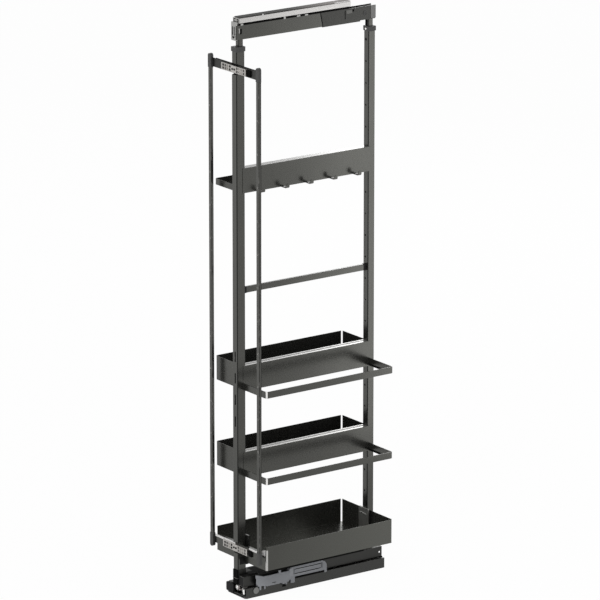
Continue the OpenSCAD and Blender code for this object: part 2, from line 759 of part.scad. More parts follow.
module front_collar() color(black_plastic)
    collar(front_upright_y, front_tube_y, front_upright_y[1] + collar_proud + cut);

module rear_collar() color(black_plastic)
    collar(rear_upright_y, rear_tube_y, rear_upright_y[0] - collar_proud - cut);

module collar_screws() color(bright_steel) translate([0, 0, collar_screw_z]) {
    front_face = front_upright_y[1] + collar_proud;
    rear_face = rear_upright_y[0] - collar_proud;
    shank_l = 3;
    head_r = 3.5;
    head_t = 1.5;
    bar_y([front_face - shank_l, front_face + head_t], collar_screw_r);
    bar_y([front_face, front_face + head_t], head_r);
    bar_y([rear_face - head_t, rear_face + shank_l], collar_screw_r);
    bar_y([rear_face - head_t, rear_face], head_r);
}

// Baskets
module bottom_basket() color(anthracite) {
    rim_z = bottom_basket_z + front_wall_h;
    corner_x = basket_x - basket_corner_r;
    notch_x = [upright_x[0] - notch_play, upright_x[1] + notch_play];
    hanger_x = hanger_w / 2 + notch_play;
    difference() {
        tray([-basket_x, basket_x], basket_y, bottom_basket_z, basket_h);
        span([-corner_x, corner_x], [basket_y[0] - cut, basket_y[0] + basket_corner_r],
            [rim_z, bottom_basket_z + basket_h + cut]);
        span(notch_x, [basket_y[0] - cut, front_upright_y[1] + notch_play],
            [bottom_basket_z - cut, rim_z + cut]);
        span(notch_x, [rear_upright_y[0] - notch_play, basket_y[1] + cut],
            [bottom_basket_z - cut, bottom_basket_z + basket_h + cut]);
    }
    both_sides()
        span([hanger_x, corner_x], [basket_y[0], basket_y[0] + front_rim_d], [rim_z - sheet, rim_z]);
}

module front_hanger() color(dark_steel)
    span([-hanger_w / 2, hanger_w / 2], [front_upright_y[1], front_upright_y[1] + hanger_t],
        [bottom_basket_z + sheet, bottom_basket_z + sheet + hanger_h]);

module rear_hanger() color(dark_steel)
    span([-hanger_w / 2, hanger_w / 2], [rear_upright_y[0] - hanger_t, rear_upright_y[0]],
        [bottom_basket_z + sheet, bottom_basket_z + sheet + hanger_h]);

module lower_basket() color(anthracite) tray(half_basket_x, basket_y, lower_basket_z, basket_h);

module lower_basket_beam() color(anthracite)
    side_beam(lower_basket_z - side_beam_drop, basket_h + side_beam_drop);

module upper_basket() color(anthracite) tray(half_basket_x, basket_y, upper_basket_z, basket_h);

module upper_basket_beam() color(anthracite)
    side_beam(upper_basket_z - side_beam_drop, basket_h + side_beam_drop);

module lower_towel_rail() color(anthracite) towel_rail(lower_basket_z + towel_bar_rise);

module upper_towel_rail() color(anthracite) towel_rail(upper_basket_z + towel_bar_rise);

// Hook shelf
module hook_shelf() color(anthracite) tray(half_basket_x, basket_y, shelf_z - shelf_drop, shelf_rim_h);

module hook_panel() color(anthracite) side_beam(shelf_z, panel_h);

// A hook is one strip: a tongue, a bend and an upturned tip with a round end
module hooks() color(anthracite) {
    bend_x = panel_x[1] + hook_reach;
    bend_z = shelf_z + hook_t + hook_bend_r;
    outer_r = hook_bend_r + hook_t;
    tip_x = [bend_x + hook_bend_r, bend_x + outer_r];
    tip_z = shelf_z + hook_t + hook_tip_h - hook_w / 2;
    half_y = [-hook_w / 2, hook_w / 2];
    for (i = [0 : hook_count - 1])
        translate([0, hook_shift + (i - (hook_count - 1) / 2) * hook_pitch, 0]) {
            span([panel_x[1], bend_x], half_y, [shelf_z, shelf_z + hook_t]);
            translate([bend_x, 0, bend_z]) difference() {
                bar_y(half_y, outer_r);
                bar_y([half_y[0] - cut, half_y[1] + cut], hook_bend_r);
                span([-outer_r - cut, 0], [half_y[0] - cut, half_y[1] + cut], [-outer_r - cut, outer_r + cut]);
                span([-cut, outer_r + cut], [half_y[0] - cut, half_y[1] + cut], [0, outer_r + cut]);
            }
            difference() {
                union() {
                    translate([0, 0, tip_z]) bar_x(tip_x, hook_w / 2);
                    span(tip_x, half_y, [bend_z - cut, tip_z]);
                }
                span([tip_x[0] - cut, tip_x[1] + cut], [half_y[0] - cut, half_y[1] + cut],
                    [bend_z - hook_w, bend_z]);
            }
        }
}

// Crossbar
module crossbar() color(anthracite)
    span([-crossbar_t / 2, crossbar_t / 2],
        [front_upright_y[1] + crossbar_plug_l, rear_upright_y[0] - crossbar_plug_l],
        [crossbar_z, crossbar_z + crossbar_h]);

module crossbar_plugs() color(black_plastic) {
    proud = 0.6;
    for (y = [front_upright_y[1], rear_upright_y[0] - crossbar_plug_l])
        span([-crossbar_t / 2 - proud, crossbar_t / 2 + proud], [y, y + crossbar_plug_l],
            [crossbar_z - proud, crossbar_z + crossbar_h + proud]);
}

// Door carrier
module adjuster_plate(z) {
    inside = upright_w / 2 - upright_wall - fixed_play;
    span([-inside, inside], [recess_y - run_gap, recess_y - run_gap + adjuster_plate_t],
        [z - recess_z, z + recess_z]);
}

module upper_adjuster_plate() color(dark_steel) adjuster_plate(door_bar_upper_z);

module lower_adjuster_plate() color(dark_steel) adjuster_plate(door_bar_lower_z);

// An adjuster block with shallow pockets, and a boss that reaches back through the bar's window
module adjuster(z) {
    half_w = adjuster_w / 2;
    half_h = adjuster_h / 2;
    pocket_h = adjuster_h / 2 - 3;
    difference() {
        union() {
            span([-half_w, half_w], adjuster_y, [z - half_h, z + half_h]);
            span([-boss_x, boss_x], [adjuster_y[0], recess_y - 2 * run_gap], [z - boss_z, z + boss_z]);
        }
        for (s = [-1, 1], i = [0 : 3], row = [-1, 1]) {
            x = s * (13 + i * (half_w - 16) / 4);
            w = (half_w - 16) / 4 - 2.5;
            span([min(x, x + s * w), max(x, x + s * w)], [adjuster_y[0] - cut, adjuster_y[0] + pocket_depth],
                [z + row * (pocket_h / 2 + 1) - pocket_h / 2, z + row * (pocket_h / 2 + 1) + pocket_h / 2]);
        }
        for (x = [-adjuster_screw_x, adjuster_screw_x])
            translate([x, 0, z]) bar_y([adjuster_y[0] - cut, recess_y], collar_screw_r + fixed_play);
    }
}

module upper_adjuster() color(silver) adjuster(door_bar_upper_z);

module lower_adjuster() color(silver) adjuster(door_bar_lower_z);

module adjuster_screws() color(dark_steel)
    for (z = [door_bar_lower_z, door_bar_upper_z], x = [-adjuster_screw_x, adjuster_screw_x])
        translate([x, 0, z]) {
            bar_y([adjuster_y[0] - screw_head_t, recess_y - 2 * run_gap], collar_screw_r);
            bar_y([adjuster_y[0] - screw_head_t, adjuster_y[0]], screw_head_r);
        }

module door_bar(z) {
    end_x = door_rod_x - connector_x;
    difference() {
        span([-end_x, end_x], door_bar_y, [z - door_bar_h / 2, z + door_bar_h / 2]);
        span([-window_x, window_x], [door_bar_y[0] - cut, door_bar_y[1] + cut], [z - window_z, z + window_z]);
    }
}

module upper_door_bar() color(anthracite) door_bar(door_bar_upper_z);

module lower_door_bar() color(anthracite) door_bar(door_bar_lower_z);

module door_rod(x) {
    difference() {
        span([x - door_rod_w / 2, x + door_rod_w / 2], door_rod_y,
            [door_bar_lower_z - rod_end_rise, door_bar_upper_z + rod_end_rise]);
        for (i = [0 : door_hole_count - 1])
            translate([x, 0, door_hole_first_z + i * door_hole_pitch])
                bar_y([door_rod_y[0] - cut, door_rod_y[1] + cut], door_hole_d / 2);
    }
}

module left_door_rod() color(anthracite) door_rod(-door_rod_x);

module right_door_rod() color(anthracite) door_rod(door_rod_x);

// A connector: a socket round the rod's end that also takes the bar's end, round at its closed end
module connector(x, z, up) {
    open_z = -door_bar_h / 2 - 3;
    end_z = open_z + connector_h;
    translate([x, 0, z]) mirror([0, 0, up ? 0 : 1]) difference() {
        slab_xz(connector_y) {
            translate([-connector_x, open_z]) square([2 * connector_x, connector_h - connector_end_r]);
            translate([-connector_x + connector_end_r, open_z])
                square([2 * (connector_x - connector_end_r), connector_h]);
            for (s = [-1, 1])
                translate([s * (connector_x - connector_end_r), end_z - connector_end_r])
                    circle(r = connector_end_r);
        }
        span([-door_rod_w / 2, door_rod_w / 2], door_rod_y, [open_z - cut, rod_end_rise]);
    }
}

module upper_connectors() color(black_plastic)
    for (x = [-door_rod_x, door_rod_x]) connector(x, door_bar_upper_z, true);

module lower_connectors() color(black_plastic)
    for (x = [-door_rod_x, door_rod_x]) connector(x, door_bar_lower_z, false);

// Top guide
module inner_tube(y) {
    half = inner_tube_w / 2;
    bore = half - inner_tube_wall;
    z = [upright_top - inner_tube_hidden_l, inner_tube_top];
    difference() {
        span([-half, half], [y - half, y + half], z);
        span([-bore, bore], [y - bore, y + bore], [z[0] - cut, z[1] + cut]);
    }
}

module tube_hole(y, z) {
    half = inner_tube_w / 2;
    span([-half, half], [y - half, y + half], z);
}

module front_inner_tube() color(anthracite) inner_tube(front_tube_y);

module rear_inner_tube() color(anthracite) inner_tube(rear_tube_y);

module top_channel() color(anthracite) {
    dimple_r = 7;
    dimple_y = rear_tube_y - 24.5;
    difference() {
        union() {
            span([-channel_x, channel_x], top_channel_y, channel_floor_z);
            both_sides() {
                wall_x = [channel_x - top_channel_wall, channel_x];
                span(wall_x, [top_channel_y[0], top_cover_y[1]], [top_bar_z + top_cover_t, top_bar_top]);
                span(wall_x, [top_cover_y[1], channel_step_y], [top_bar_z - 2, top_bar_top]);
                span(wall_x, [channel_step_y, top_channel_y[1]], [channel_floor_z[0] - 2, top_bar_top]);
                span([slot_edge_x, channel_x], top_channel_y, [channel_lip_top - channel_lip_t, channel_lip_top]);
            }
        }
        for (y = [front_tube_y, rear_tube_y])
            tube_hole(y, [channel_floor_z[0] - cut, channel_floor_z[1] + cut]);
        both_sides() translate([0, dimple_y, top_bar_z + top_bar_h / 2])
            bar_x([channel_x - 0.8, channel_x + cut], dimple_r);
    }
}

module top_cover() color(anthracite) difference() {
    union() {
        both_sides() slab_yz([channel_x, cover_x])
            polygon([[top_cover_y[0], top_bar_z], [top_cover_y[1], top_bar_z],
                [top_cover_y[1] - cover_slant, top_bar_top], [top_cover_y[0], top_bar_top]]);
        span([-cover_x, cover_x], [front_cap_y[1], top_cover_y[1]], [top_bar_z, top_bar_z + top_cover_t]);
    }
    tube_hole(front_tube_y, [top_bar_z - cut, top_bar_z + top_cover_t + cut]);
    both_sides() span([channel_x - cut, cover_x + cut], [front_tube_y - 5, front_tube_y - 2],
        [top_bar_z + 15, top_bar_z + 31]);
}

module top_front_cap() color(silver) difference() {
    span([-front_cap_x, front_cap_x], front_cap_y, front_cap_z);
    for (x = [-5, 5])
        span([x - 1.5, x + 1.5], [front_cap_y[0] - cut, front_cap_y[1] + cut],
            [top_bar_z + 11, top_bar_z + 34]);
    span([-3, 3], [front_cap_y[0] - cut, front_cap_y[1] + cut], [top_bar_z + 4, top_bar_z + 7]);
}

module top_rear_cap() color(damper_grey) {
    y = [top_channel_y[1] - rear_cap_l, top_channel_y[1] + rear_cap_t];
    both_sides() span([channel_x, channel_x + rear_cap_t], y, [channel_floor_z[0], top_bar_top]);
    span([-channel_x - rear_cap_t, channel_x + rear_cap_t], [top_channel_y[1], y[1]],
        [channel_floor_z[0], tee_head_top - tee_head_t - 2]);
}

module ceiling_rail() color(dark_steel) difference() {
    union() {
        span([-ceiling_strip_w / 2, ceiling_strip_w / 2], telescope_y, [ceiling_z, ceiling_z + ceiling_strip_t]);
        span([-tee_web_x, tee_web_x], telescope_y, [ceiling_head_top - tee_head_t, ceiling_z]);
        span([-tee_head_x, tee_head_x], telescope_y, [ceiling_head_top - tee_head_t, ceiling_head_top]);
    }
    for (x = [-1, 1], y = [ceiling_hole_first_y, ceiling_hole_first_y + ceiling_hole_spread_y])
        translate([x * ceiling_hole_spread_x / 2, y, ceiling_z - cut])
            cylinder(h = ceiling_strip_t + 2 * cut, d = ceiling_hole_d);
}

module telescope_rail() color(silver) {
    difference() {
        span([-telescope_x, telescope_x], telescope_y, telescope_z);
        span([-telescope_x + telescope_wall, telescope_x - telescope_wall],
            [telescope_y[0] - cut, telescope_y[1] + cut],
            [telescope_z[0] + telescope_wall, telescope_z[1] - channel_lip_t]);
        span([-slot_edge_x, slot_edge_x], [telescope_y[0] - cut, telescope_y[1] + cut],
            [telescope_z[0] + telescope_wall, telescope_z[1] + cut]);
    }
    span([-tee_web_x, tee_web_x], telescope_y, [tee_head_top - tee_head_t, telescope_z[0]]);
    span([-tee_head_x, tee_head_x], telescope_y, [tee_head_top - tee_head_t, tee_head_top]);
}

base_rail();
rear_stop();
base_roller_bolts();
base_rollers();
damper_housing();
damper_cover();
damper_cylinder();
damper_rod();
damper_shuttle();
damper_catch();
carriage_rails();
carriage_plates();
carriage_cap();
front_axle();
front_rollers();
carriage_rollers();
bottom_beam();
beam_brackets();
beam_rollers();
striker_pin();
front_foot();
front_upright();
rear_upright();
front_collar();
rear_collar();
collar_screws();
bottom_basket();
front_hanger();
rear_hanger();
lower_basket();
lower_basket_beam();
upper_basket();
upper_basket_beam();
lower_towel_rail();
upper_towel_rail();
hook_shelf();
hook_panel();
hooks();
crossbar();
crossbar_plugs();
upper_adjuster_plate();
lower_adjuster_plate();
upper_adjuster();
lower_adjuster();
adjuster_screws();
upper_door_bar();
lower_door_bar();
left_door_rod();
right_door_rod();
upper_connectors();
lower_connectors();
front_inner_tube();
rear_inner_tube();
top_channel();
top_cover();
top_front_cap();
top_rear_cap();
ceiling_rail();
telescope_rail();
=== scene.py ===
"""Looks of the pull-out pantry frame, built around its CAD frame. +Z is up, and it pulls out towards -Y."""

import json
import math
from typing import NamedTuple

import bmesh
import bpy
from mathutils import Matrix, Vector


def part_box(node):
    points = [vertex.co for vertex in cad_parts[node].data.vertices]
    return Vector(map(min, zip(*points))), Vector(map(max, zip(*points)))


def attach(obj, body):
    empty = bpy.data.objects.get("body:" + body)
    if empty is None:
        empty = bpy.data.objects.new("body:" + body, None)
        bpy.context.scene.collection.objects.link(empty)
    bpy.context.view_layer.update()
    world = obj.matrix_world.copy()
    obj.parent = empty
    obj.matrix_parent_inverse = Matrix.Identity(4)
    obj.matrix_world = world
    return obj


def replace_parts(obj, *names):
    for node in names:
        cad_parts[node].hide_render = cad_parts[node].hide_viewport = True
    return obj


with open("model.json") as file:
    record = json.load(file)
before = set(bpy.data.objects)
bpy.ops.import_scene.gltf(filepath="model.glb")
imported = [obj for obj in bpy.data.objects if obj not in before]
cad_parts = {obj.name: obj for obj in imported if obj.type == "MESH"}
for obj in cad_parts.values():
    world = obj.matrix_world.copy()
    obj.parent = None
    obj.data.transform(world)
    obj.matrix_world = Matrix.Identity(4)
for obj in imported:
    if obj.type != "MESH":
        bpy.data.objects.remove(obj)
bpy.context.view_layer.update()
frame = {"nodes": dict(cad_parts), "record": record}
scene = bpy.context.scene
record = frame["record"]
slot_of = {part["node"]: part["material_slot"] for part in record["subparts"]}
body_of = {node: body for body, nodes in record["behaviour"]["bodies"].items() for node in nodes}
MM = 0.001

# Camera at the photograph's viewing angle
CAMERA_AZIMUTH = math.radians(54.192)
CAMERA_ELEVATION = math.radians(15.525)
CAMERA_PLACE = Vector((12.11866, -8.75970, 5.00787))
CAMERA_LENS = 321.0
CAMERA_REACH = 100.0
SENSOR = 36.0

# Surround and floor
FILL_STRENGTH = 0.55
FLOOR_SIZE = 8.0
FLOOR_DROP = 0.6 * MM
FLOOR_GREY = 0.85
FLOOR_GLOW = 0.97


def make_camera():
    """A long lens, far away, looking down at the frame from its front right."""
    data = bpy.data.cameras.new("camera")
    data.lens = CAMERA_LENS
    data.sensor_width = SENSOR
    data.sensor_fit = "HORIZONTAL"
    data.clip_end = CAMERA_REACH
    camera = bpy.data.objects.new("camera", data)
    scene.collection.objects.link(camera)
    ahead = Vector((-math.sin(CAMERA_AZIMUTH) * math.cos(CAMERA_ELEVATION),
                    math.cos(CAMERA_AZIMUTH) * math.cos(CAMERA_ELEVATION),
                    -math.sin(CAMERA_ELEVATION)))
    camera.location = CAMERA_PLACE
    camera.rotation_euler = ahead.to_track_quat("-Z", "Y").to_euler()
    scene.camera = camera


def seen_ray(nodes, links):
    """A value that is 1 for rays from the camera and for mirrored or refracted ones, and 0 for the rest."""
    path = nodes.new("ShaderNodeLightPath")
    total = path.outputs["Is Camera Ray"]
    for name in ("Is Glossy Ray", "Is Transmission Ray"):
        either = nodes.new("ShaderNodeMath")
        either.operation = "MAXIMUM"
        links.new(total, either.inputs[0])
        links.new(path.outputs[name], either.inputs[1])
        total = either.outputs[0]
    return total


def make_world():
    """A white surround for the camera and for reflections, and a soft grey fill for the rest."""
    world = bpy.data.worlds.new("studio")
    scene.world = world
    world.use_nodes = True
    nodes, links = world.node_tree.nodes, world.node_tree.links
    nodes.clear()
    fill = nodes.new("ShaderNodeBackground")
    fill.inputs["Color"].default_value = (1, 1, 1, 1)
    fill.inputs["Strength"].default_value = FILL_STRENGTH
    white = nodes.new("ShaderNodeBackground")
    white.inputs["Color"].default_value = (1, 1, 1, 1)
    white.inputs["Strength"].default_value = 1.0
    mix = nodes.new("ShaderNodeMixShader")
    out = nodes.new("ShaderNodeOutputWorld")
    links.new(seen_ray(nodes, links), mix.inputs[0])
    links.new(fill.outputs[0], mix.inputs[1])
    links.new(white.outputs[0], mix.inputs[2])
    links.new(mix.outputs[0], out.inputs[0])


def make_floor():
    """A pale floor: white to the camera, with a share of lit paint that keeps a faint shadow."""
    bm = bmesh.new()
    bmesh.ops.create_grid(bm, x_segments=1, y_segments=1, size=FLOOR_SIZE)
    bmesh.ops.translate(bm, verts=bm.verts, vec=(0, 0, -FLOOR_DROP))
    mesh = bpy.data.meshes.new("floor")
    bm.to_mesh(mesh)
    bm.free()
    floor = bpy.data.objects.new("floor", mesh)
    scene.collection.objects.link(floor)
    material = bpy.data.materials.new("floor_paint")
    material.use_nodes = True
    nodes, links = material.node_tree.nodes, material.node_tree.links
    nodes.clear()
    paint = nodes.new("ShaderNodeBsdfDiffuse")
    paint.inputs["Color"].default_value = (FLOOR_GREY, FLOOR_GREY, FLOOR_GREY, 1)
    glow = nodes.new("ShaderNodeEmission")
    glow.inputs["Color"].default_value = (1, 1, 1, 1)
    share = nodes.new("ShaderNodeMath")
    share.operation = "MULTIPLY"
    share.inputs[1].default_value = FLOOR_GLOW
    mix = nodes.new("ShaderNodeMixShader")
    out = nodes.new("ShaderNodeOutputMaterial")
    links.new(seen_ray(nodes, links), share.inputs[0])
    links.new(share.outputs[0], mix.inputs[0])
    links.new(paint.outputs[0], mix.inputs[1])
    links.new(glow.outputs[0], mix.inputs[2])
    links.new(mix.outputs[0], out.inputs[0])
    mesh.materials.append(material)


def lamp(name, place, aim, width, height, watts):
    """A rectangular soft lamp that faces a point."""
    data = bpy.data.lights.new(name, "AREA")
    data.shape = "RECTANGLE"
    data.size = width
    data.size_y = height
    data.energy = watts
    obj = bpy.data.objects.new(name, data)
    scene.collection.objects.link(obj)
    obj.location = place
    obj.rotation_euler = (Vector(aim) - Vector(place)).to_track_quat("-Z", "Y").to_euler()


make_camera()
make_world()
make_floor()
lamp("key", (2.5, -3.5, 4.0), (0, 0, 0.9), width=2.0, height=2.0, watts=90)
lamp("side", (1.05, 1.11, 0.74), (0, 0.69, 1.10), width=0.52, height=1.44, watts=3.95)
lamp("front", (-1.6, -1.6, 0.65), (0, -0.24, 1.1), width=1.2, height=1.2, watts=1.0)
lamp("back", (-3.0, 4.0, 2.5), (0, 0, 0.9), width=3.0, height=1.5, watts=50)

# Finishes
RUBBED_COAT = (0.17, 0.165, 0.16)
# Colour of the painted highlights on bends and flanges
PAINTED_HIGHLIGHT_TONE = (0.85, 0.84, 0.82)
# Share of the coat's colour left on the long corners: painted shade
CORNER_PAINTED_SHADE = 0.2


def new_finish(name, metallic):
    """A material with its nodes, links and shader at hand."""
    material = bpy.data.materials.new(name)
    material.use_nodes = True
    nodes, links = material.node_tree.nodes, material.node_tree.links
    shader = nodes["Principled BSDF"]
    shader.inputs["Metallic"].default_value = metallic
    return material, nodes, links, shader


def grain(nodes, links, scale, stretch=(1, 1, 1), detail=3.0):
    """Noise on the piece's own coordinates, in cycles per metre, stretched along the axes."""
    place = nodes.new("ShaderNodeTexCoord")
    mapping = nodes.new("ShaderNodeMapping")
    mapping.inputs["Scale"].default_value = stretch
    noise = nodes.new("ShaderNodeTexNoise")
    noise.inputs["Scale"].default_value = scale
    noise.inputs["Detail"].default_value = detail
    links.new(place.outputs["Object"], mapping.inputs["Vector"])
    links.new(mapping.outputs["Vector"], noise.inputs["Vector"])
    return noise.outputs["Fac"]


def spread(nodes, links, value, low, high, start=0.32, end=0.68):
    """A noise value stretched to a range."""
    node = nodes.new("ShaderNodeMapRange")
    node.inputs["From Min"].default_value = start
    node.inputs["From Max"].default_value = end
    node.inputs["To Min"].default_value = low
    node.inputs["To Max"].default_value = high
    links.new(value, node.inputs["Value"])
    return node.outputs["Result"]


def mixed(nodes, links, factor, first, second):
    """Two colours, or a colour socket and a colour, mixed by a value."""
    node = nodes.new("ShaderNodeMix")
    node.data_type = "RGBA"
    links.new(factor, node.inputs[0])
    for socket, colour in ((node.inputs[6], first), (node.inputs[7], second)):
        if isinstance(colour, tuple):
            socket.default_value = (*colour, 1)
        else:
            links.new(colour, socket)
    return node.outputs[2]


def face_mark(nodes, name):
    """A mark that the mesh keeps on its faces, from 0 to 1."""
    mark = nodes.new("ShaderNodeAttribute")
    mark.attribute_name = name
    return mark.outputs["Fac"]


def rim_wear(nodes, links, scale, start, end):
    """How far a rounded edge is worn: the edge mark of the mesh, broken up by noise."""
    rim = face_mark(nodes, "rim")
    patches = spread(nodes, links, grain(nodes, links, scale), 0.0, 1.0, start, end)
    worn = nodes.new("ShaderNodeMath")
    worn.operation = "MULTIPLY"
    links.new(rim, worn.inputs[0])
    links.new(patches, worn.inputs[1])
    return worn.outputs[0]


def bumps(nodes, links, shader, height, strength, distance):
    """A fine relief on the whole surface."""
    node = nodes.new("ShaderNodeBump")
    node.inputs["Strength"].default_value = strength
    node.inputs["Distance"].default_value = distance
    links.new(height, node.inputs["Height"])
    links.new(node.outputs["Normal"], shader.inputs["Normal"])


def shaded(colour, factor):
    """A colour made darker or lighter."""
    return tuple(min(1.0, channel * factor) for channel in colour)


def rear_fade(nodes, links, start, end):
    """A value that rises from 0 to 1 towards the rear of the piece, between two depths."""
    place = nodes.new("ShaderNodeTexCoord")
    axes = nodes.new("ShaderNodeSeparateXYZ")
    links.new(place.outputs["Object"], axes.inputs[0])
    return spread(nodes, links, axes.outputs["Y"], 0.0, 1.0, start, end)


def satin_coat(name, colour, roughness, rear=None):
    """Stoved metallic coat: faint clouds, a fine skin and rubbed edges, with painted shade on the marked
    long corners and painted highlights on the marked bends and flanges. It may fade to another colour at the
    rear; on the bottom basket that lighter rear is a painted reflection."""
    material, nodes, links, shader = new_finish(name, 0.8)
    clouds = grain(nodes, links, 9.0, detail=4.0)
    tone = mixed(nodes, links, clouds, shaded(colour, 0.9), shaded(colour, 1.1))
    # Lighter towards the rear: on the bottom basket this paints a reflection
    if rear:
        tone = mixed(nodes, links, rear_fade(nodes, links, -0.2, 0.2), tone, rear)
    # Painted shade on the long corners of uprights, rods and inner tubes
    tone = mixed(nodes, links, face_mark(nodes, "corner"), tone, shaded(colour, CORNER_PAINTED_SHADE))
    tone = mixed(nodes, links, rim_wear(nodes, links, 70.0, 0.52, 0.68), tone, RUBBED_COAT)
    # Painted highlights on the marked bends and flanges
    tone = mixed(nodes, links, face_mark(nodes, "bend"), tone, PAINTED_HIGHLIGHT_TONE)
    links.new(tone, shader.inputs["Base Color"])
    skin = grain(nodes, links, 260.0, detail=4.0)
    links.new(spread(nodes, links, skin, roughness - 0.03, roughness + 0.03), shader.inputs["Roughness"])
    bumps(nodes, links, shader, grain(nodes, links, 500.0, detail=2.0), 0.02, 0.02 * MM)
    return material


def moulded_nylon(name, colour, roughness, gloss=0.5, rear=None):
    """Moulded nylon: a spark-eroded grain, slight flow marks and polished edges. It may fade to another
    colour at the rear."""
    material, nodes, links, shader = new_finish(name, 0.0)
    shader.inputs["Specular IOR Level"].default_value = gloss
    flow = grain(nodes, links, 35.0, (1.0, 0.4, 1.0), 4.0)
    tone = mixed(nodes, links, flow, shaded(colour, 0.85), shaded(colour, 1.15))
    if rear:
        tone = mixed(nodes, links, rear_fade(nodes, links, -0.06, 0.1), tone, rear)
    worn = rim_wear(nodes, links, 120.0, 0.45, 0.65)
    links.new(mixed(nodes, links, worn, tone, shaded(colour, 1.7)), shader.inputs["Base Color"])
    pits = grain(nodes, links, 1100.0, detail=3.0)
    links.new(spread(nodes, links, pits, roughness - 0.08, roughness + 0.1), shader.inputs["Roughness"])
    bumps(nodes, links, shader, pits, 0.15, 0.04 * MM)
    return material


def drawn_metal(name, colour, roughness, stretch=(1, 1, 1), scale=900.0):
    """Drawn, turned or extruded metal: fine lines along or round the piece, with dull and bright streaks."""
    material, nodes, links, shader = new_finish(name, 1.0)
    lines = grain(nodes, links, scale, stretch, 2.0)
    tone = mixed(nodes, links, lines, shaded(colour, 0.86), shaded(colour, 1.1))
    worn = rim_wear(nodes, links, 90.0, 0.4, 0.6)
    links.new(mixed(nodes, links, worn, tone, shaded(colour, 1.25)), shader.inputs["Base Color"])
    dull = spread(nodes, links, lines, roughness - 0.07, roughness + 0.09)
    links.new(dull, shader.inputs["Roughness"])
    bumps(nodes, links, shader, lines, 0.08, 0.03 * MM)
    return material


def cast_metal(name, colour, roughness):
    """Die-cast zinc: a cloudy grey skin with a fine pitted grain and brighter rubbed edges."""
    material, nodes, links, shader = new_finish(name, 1.0)
    clouds = grain(nodes, links, 110.0, detail=5.0)
    tone = mixed(nodes, links, clouds, shaded(colour, 0.8), shaded(colour, 1.15))
    worn = rim_wear(nodes, links, 150.0, 0.4, 0.6)
    links.new(mixed(nodes, links, worn, tone, shaded(colour, 1.4)), shader.inputs["Base Color"])
    pits = grain(nodes, links, 1300.0, detail=4.0)
    links.new(spread(nodes, links, pits, roughness - 0.08, roughness + 0.12), shader.inputs["Roughness"])
    bumps(nodes, links, shader, pits, 0.2, 0.05 * MM)
    return material


anthracite = satin_coat("anthracite_coat", (0.069, 0.0692, 0.0635), 0.25)
# The bottom basket's coat lightens towards the rear: a painted reflection
basket_coat_painted_reflection = satin_coat("basket_coat_painted_reflection", (0.065, 0.0655, 0.059), 0.25, rear=(0.098, 0.099, 0.089))
channel_coat = satin_coat("channel_coat", (0.041, 0.041, 0.0385), 0.3)
dark_coat = satin_coat("dark_coat", (0.047, 0.047, 0.045), 0.28)
beam_coat = satin_coat("beam_coat", (0.036, 0.036, 0.034), 0.36)
latch_coat = satin_coat("latch_coat", (0.085, 0.085, 0.081), 0.28)
# A lighter copy of the coat: painted light on the rear hanger, which sits in the basket's shade
hanger_painted_light_coat = satin_coat("hanger_painted_light_coat", (0.26, 0.26, 0.245), 0.4)
# Black nylon, also used for painted shade in pockets and painted shadows on the beam's top
black_nylon = moulded_nylon("black_nylon", (0.010, 0.010, 0.010), 0.6, gloss=0.15)
# Matt black, also used for black strips of painted shade and shadow in gaps, grooves, slots and under parts
matt_black = moulded_nylon("matt_black", (0.004, 0.004, 0.004), 0.8, gloss=0.05)
strip_nylon = moulded_nylon("strip_nylon", (0.05, 0.05, 0.048), 0.7, gloss=0.15, rear=(0.30, 0.285, 0.275))
connector_nylon = moulded_nylon("connector_nylon", (0.042, 0.042, 0.041), 0.45, gloss=0.35)
# Grey for painted shade in the pockets and a painted highlight across the foot
shade_and_highlight_grey = moulded_nylon("shade_and_highlight_grey", (0.11, 0.105, 0.10), 0.5, gloss=0.3)
damper_nylon = moulded_nylon("damper_nylon", (0.29, 0.30, 0.32), 0.45)
cap_nylon = moulded_nylon("cap_nylon", (0.16, 0.16, 0.155), 0.45)
plug_nylon = moulded_nylon("plug_nylon", (0.40, 0.395, 0.38), 0.4)
# Near-white trim, also used for painted highlights in the hooks' seats
trim_and_highlight_nylon = moulded_nylon("trim_and_highlight_nylon", (0.78, 0.77, 0.76), 0.5, gloss=0.3)
# Light strips of painted highlight beside the damper's grooves
painted_highlight_nylon = moulded_nylon("painted_highlight_nylon", (0.36, 0.37, 0.39), 0.45)
seal_nylon = moulded_nylon("seal_nylon", (0.17, 0.15, 0.145), 0.3)
# A lighter copy of the seal colour: painted light on the middle roller's shaded seals
seal_painted_light = moulded_nylon("seal_painted_light", (0.86, 0.77, 0.75), 0.4)
turned_steel = drawn_metal("turned_steel", (0.58, 0.57, 0.55), 0.24, stretch=(0.04, 1.0, 1.0))
polished_steel = drawn_metal("polished_steel", (0.82, 0.81, 0.79), 0.28, stretch=(0.05, 1.0, 1.0))
washer_steel = drawn_metal("washer_steel", (0.19, 0.19, 0.185), 0.4, scale=400.0)
bolt_steel = drawn_metal("bolt_steel", (0.30, 0.295, 0.28), 0.4, scale=400.0)
rail_aluminium = drawn_metal("rail_aluminium", (0.455, 0.447, 0.437), 0.32, stretch=(1.0, 0.02, 1.0))
cast_zinc = cast_metal("cast_zinc", (0.44, 0.425, 0.405), 0.36)
cap_zinc = cast_metal("cap_zinc", (0.34, 0.34, 0.33), 0.38)
finishes = {
    "anthracite_metal": anthracite,
    "dark_steel": dark_coat,
    "black_plastic": black_nylon,
    "grey_plastic": damper_nylon,
    "bright_steel": turned_steel,
    "silver_aluminium": rail_aluminium,
    "silver_diecast": cast_zinc,
}

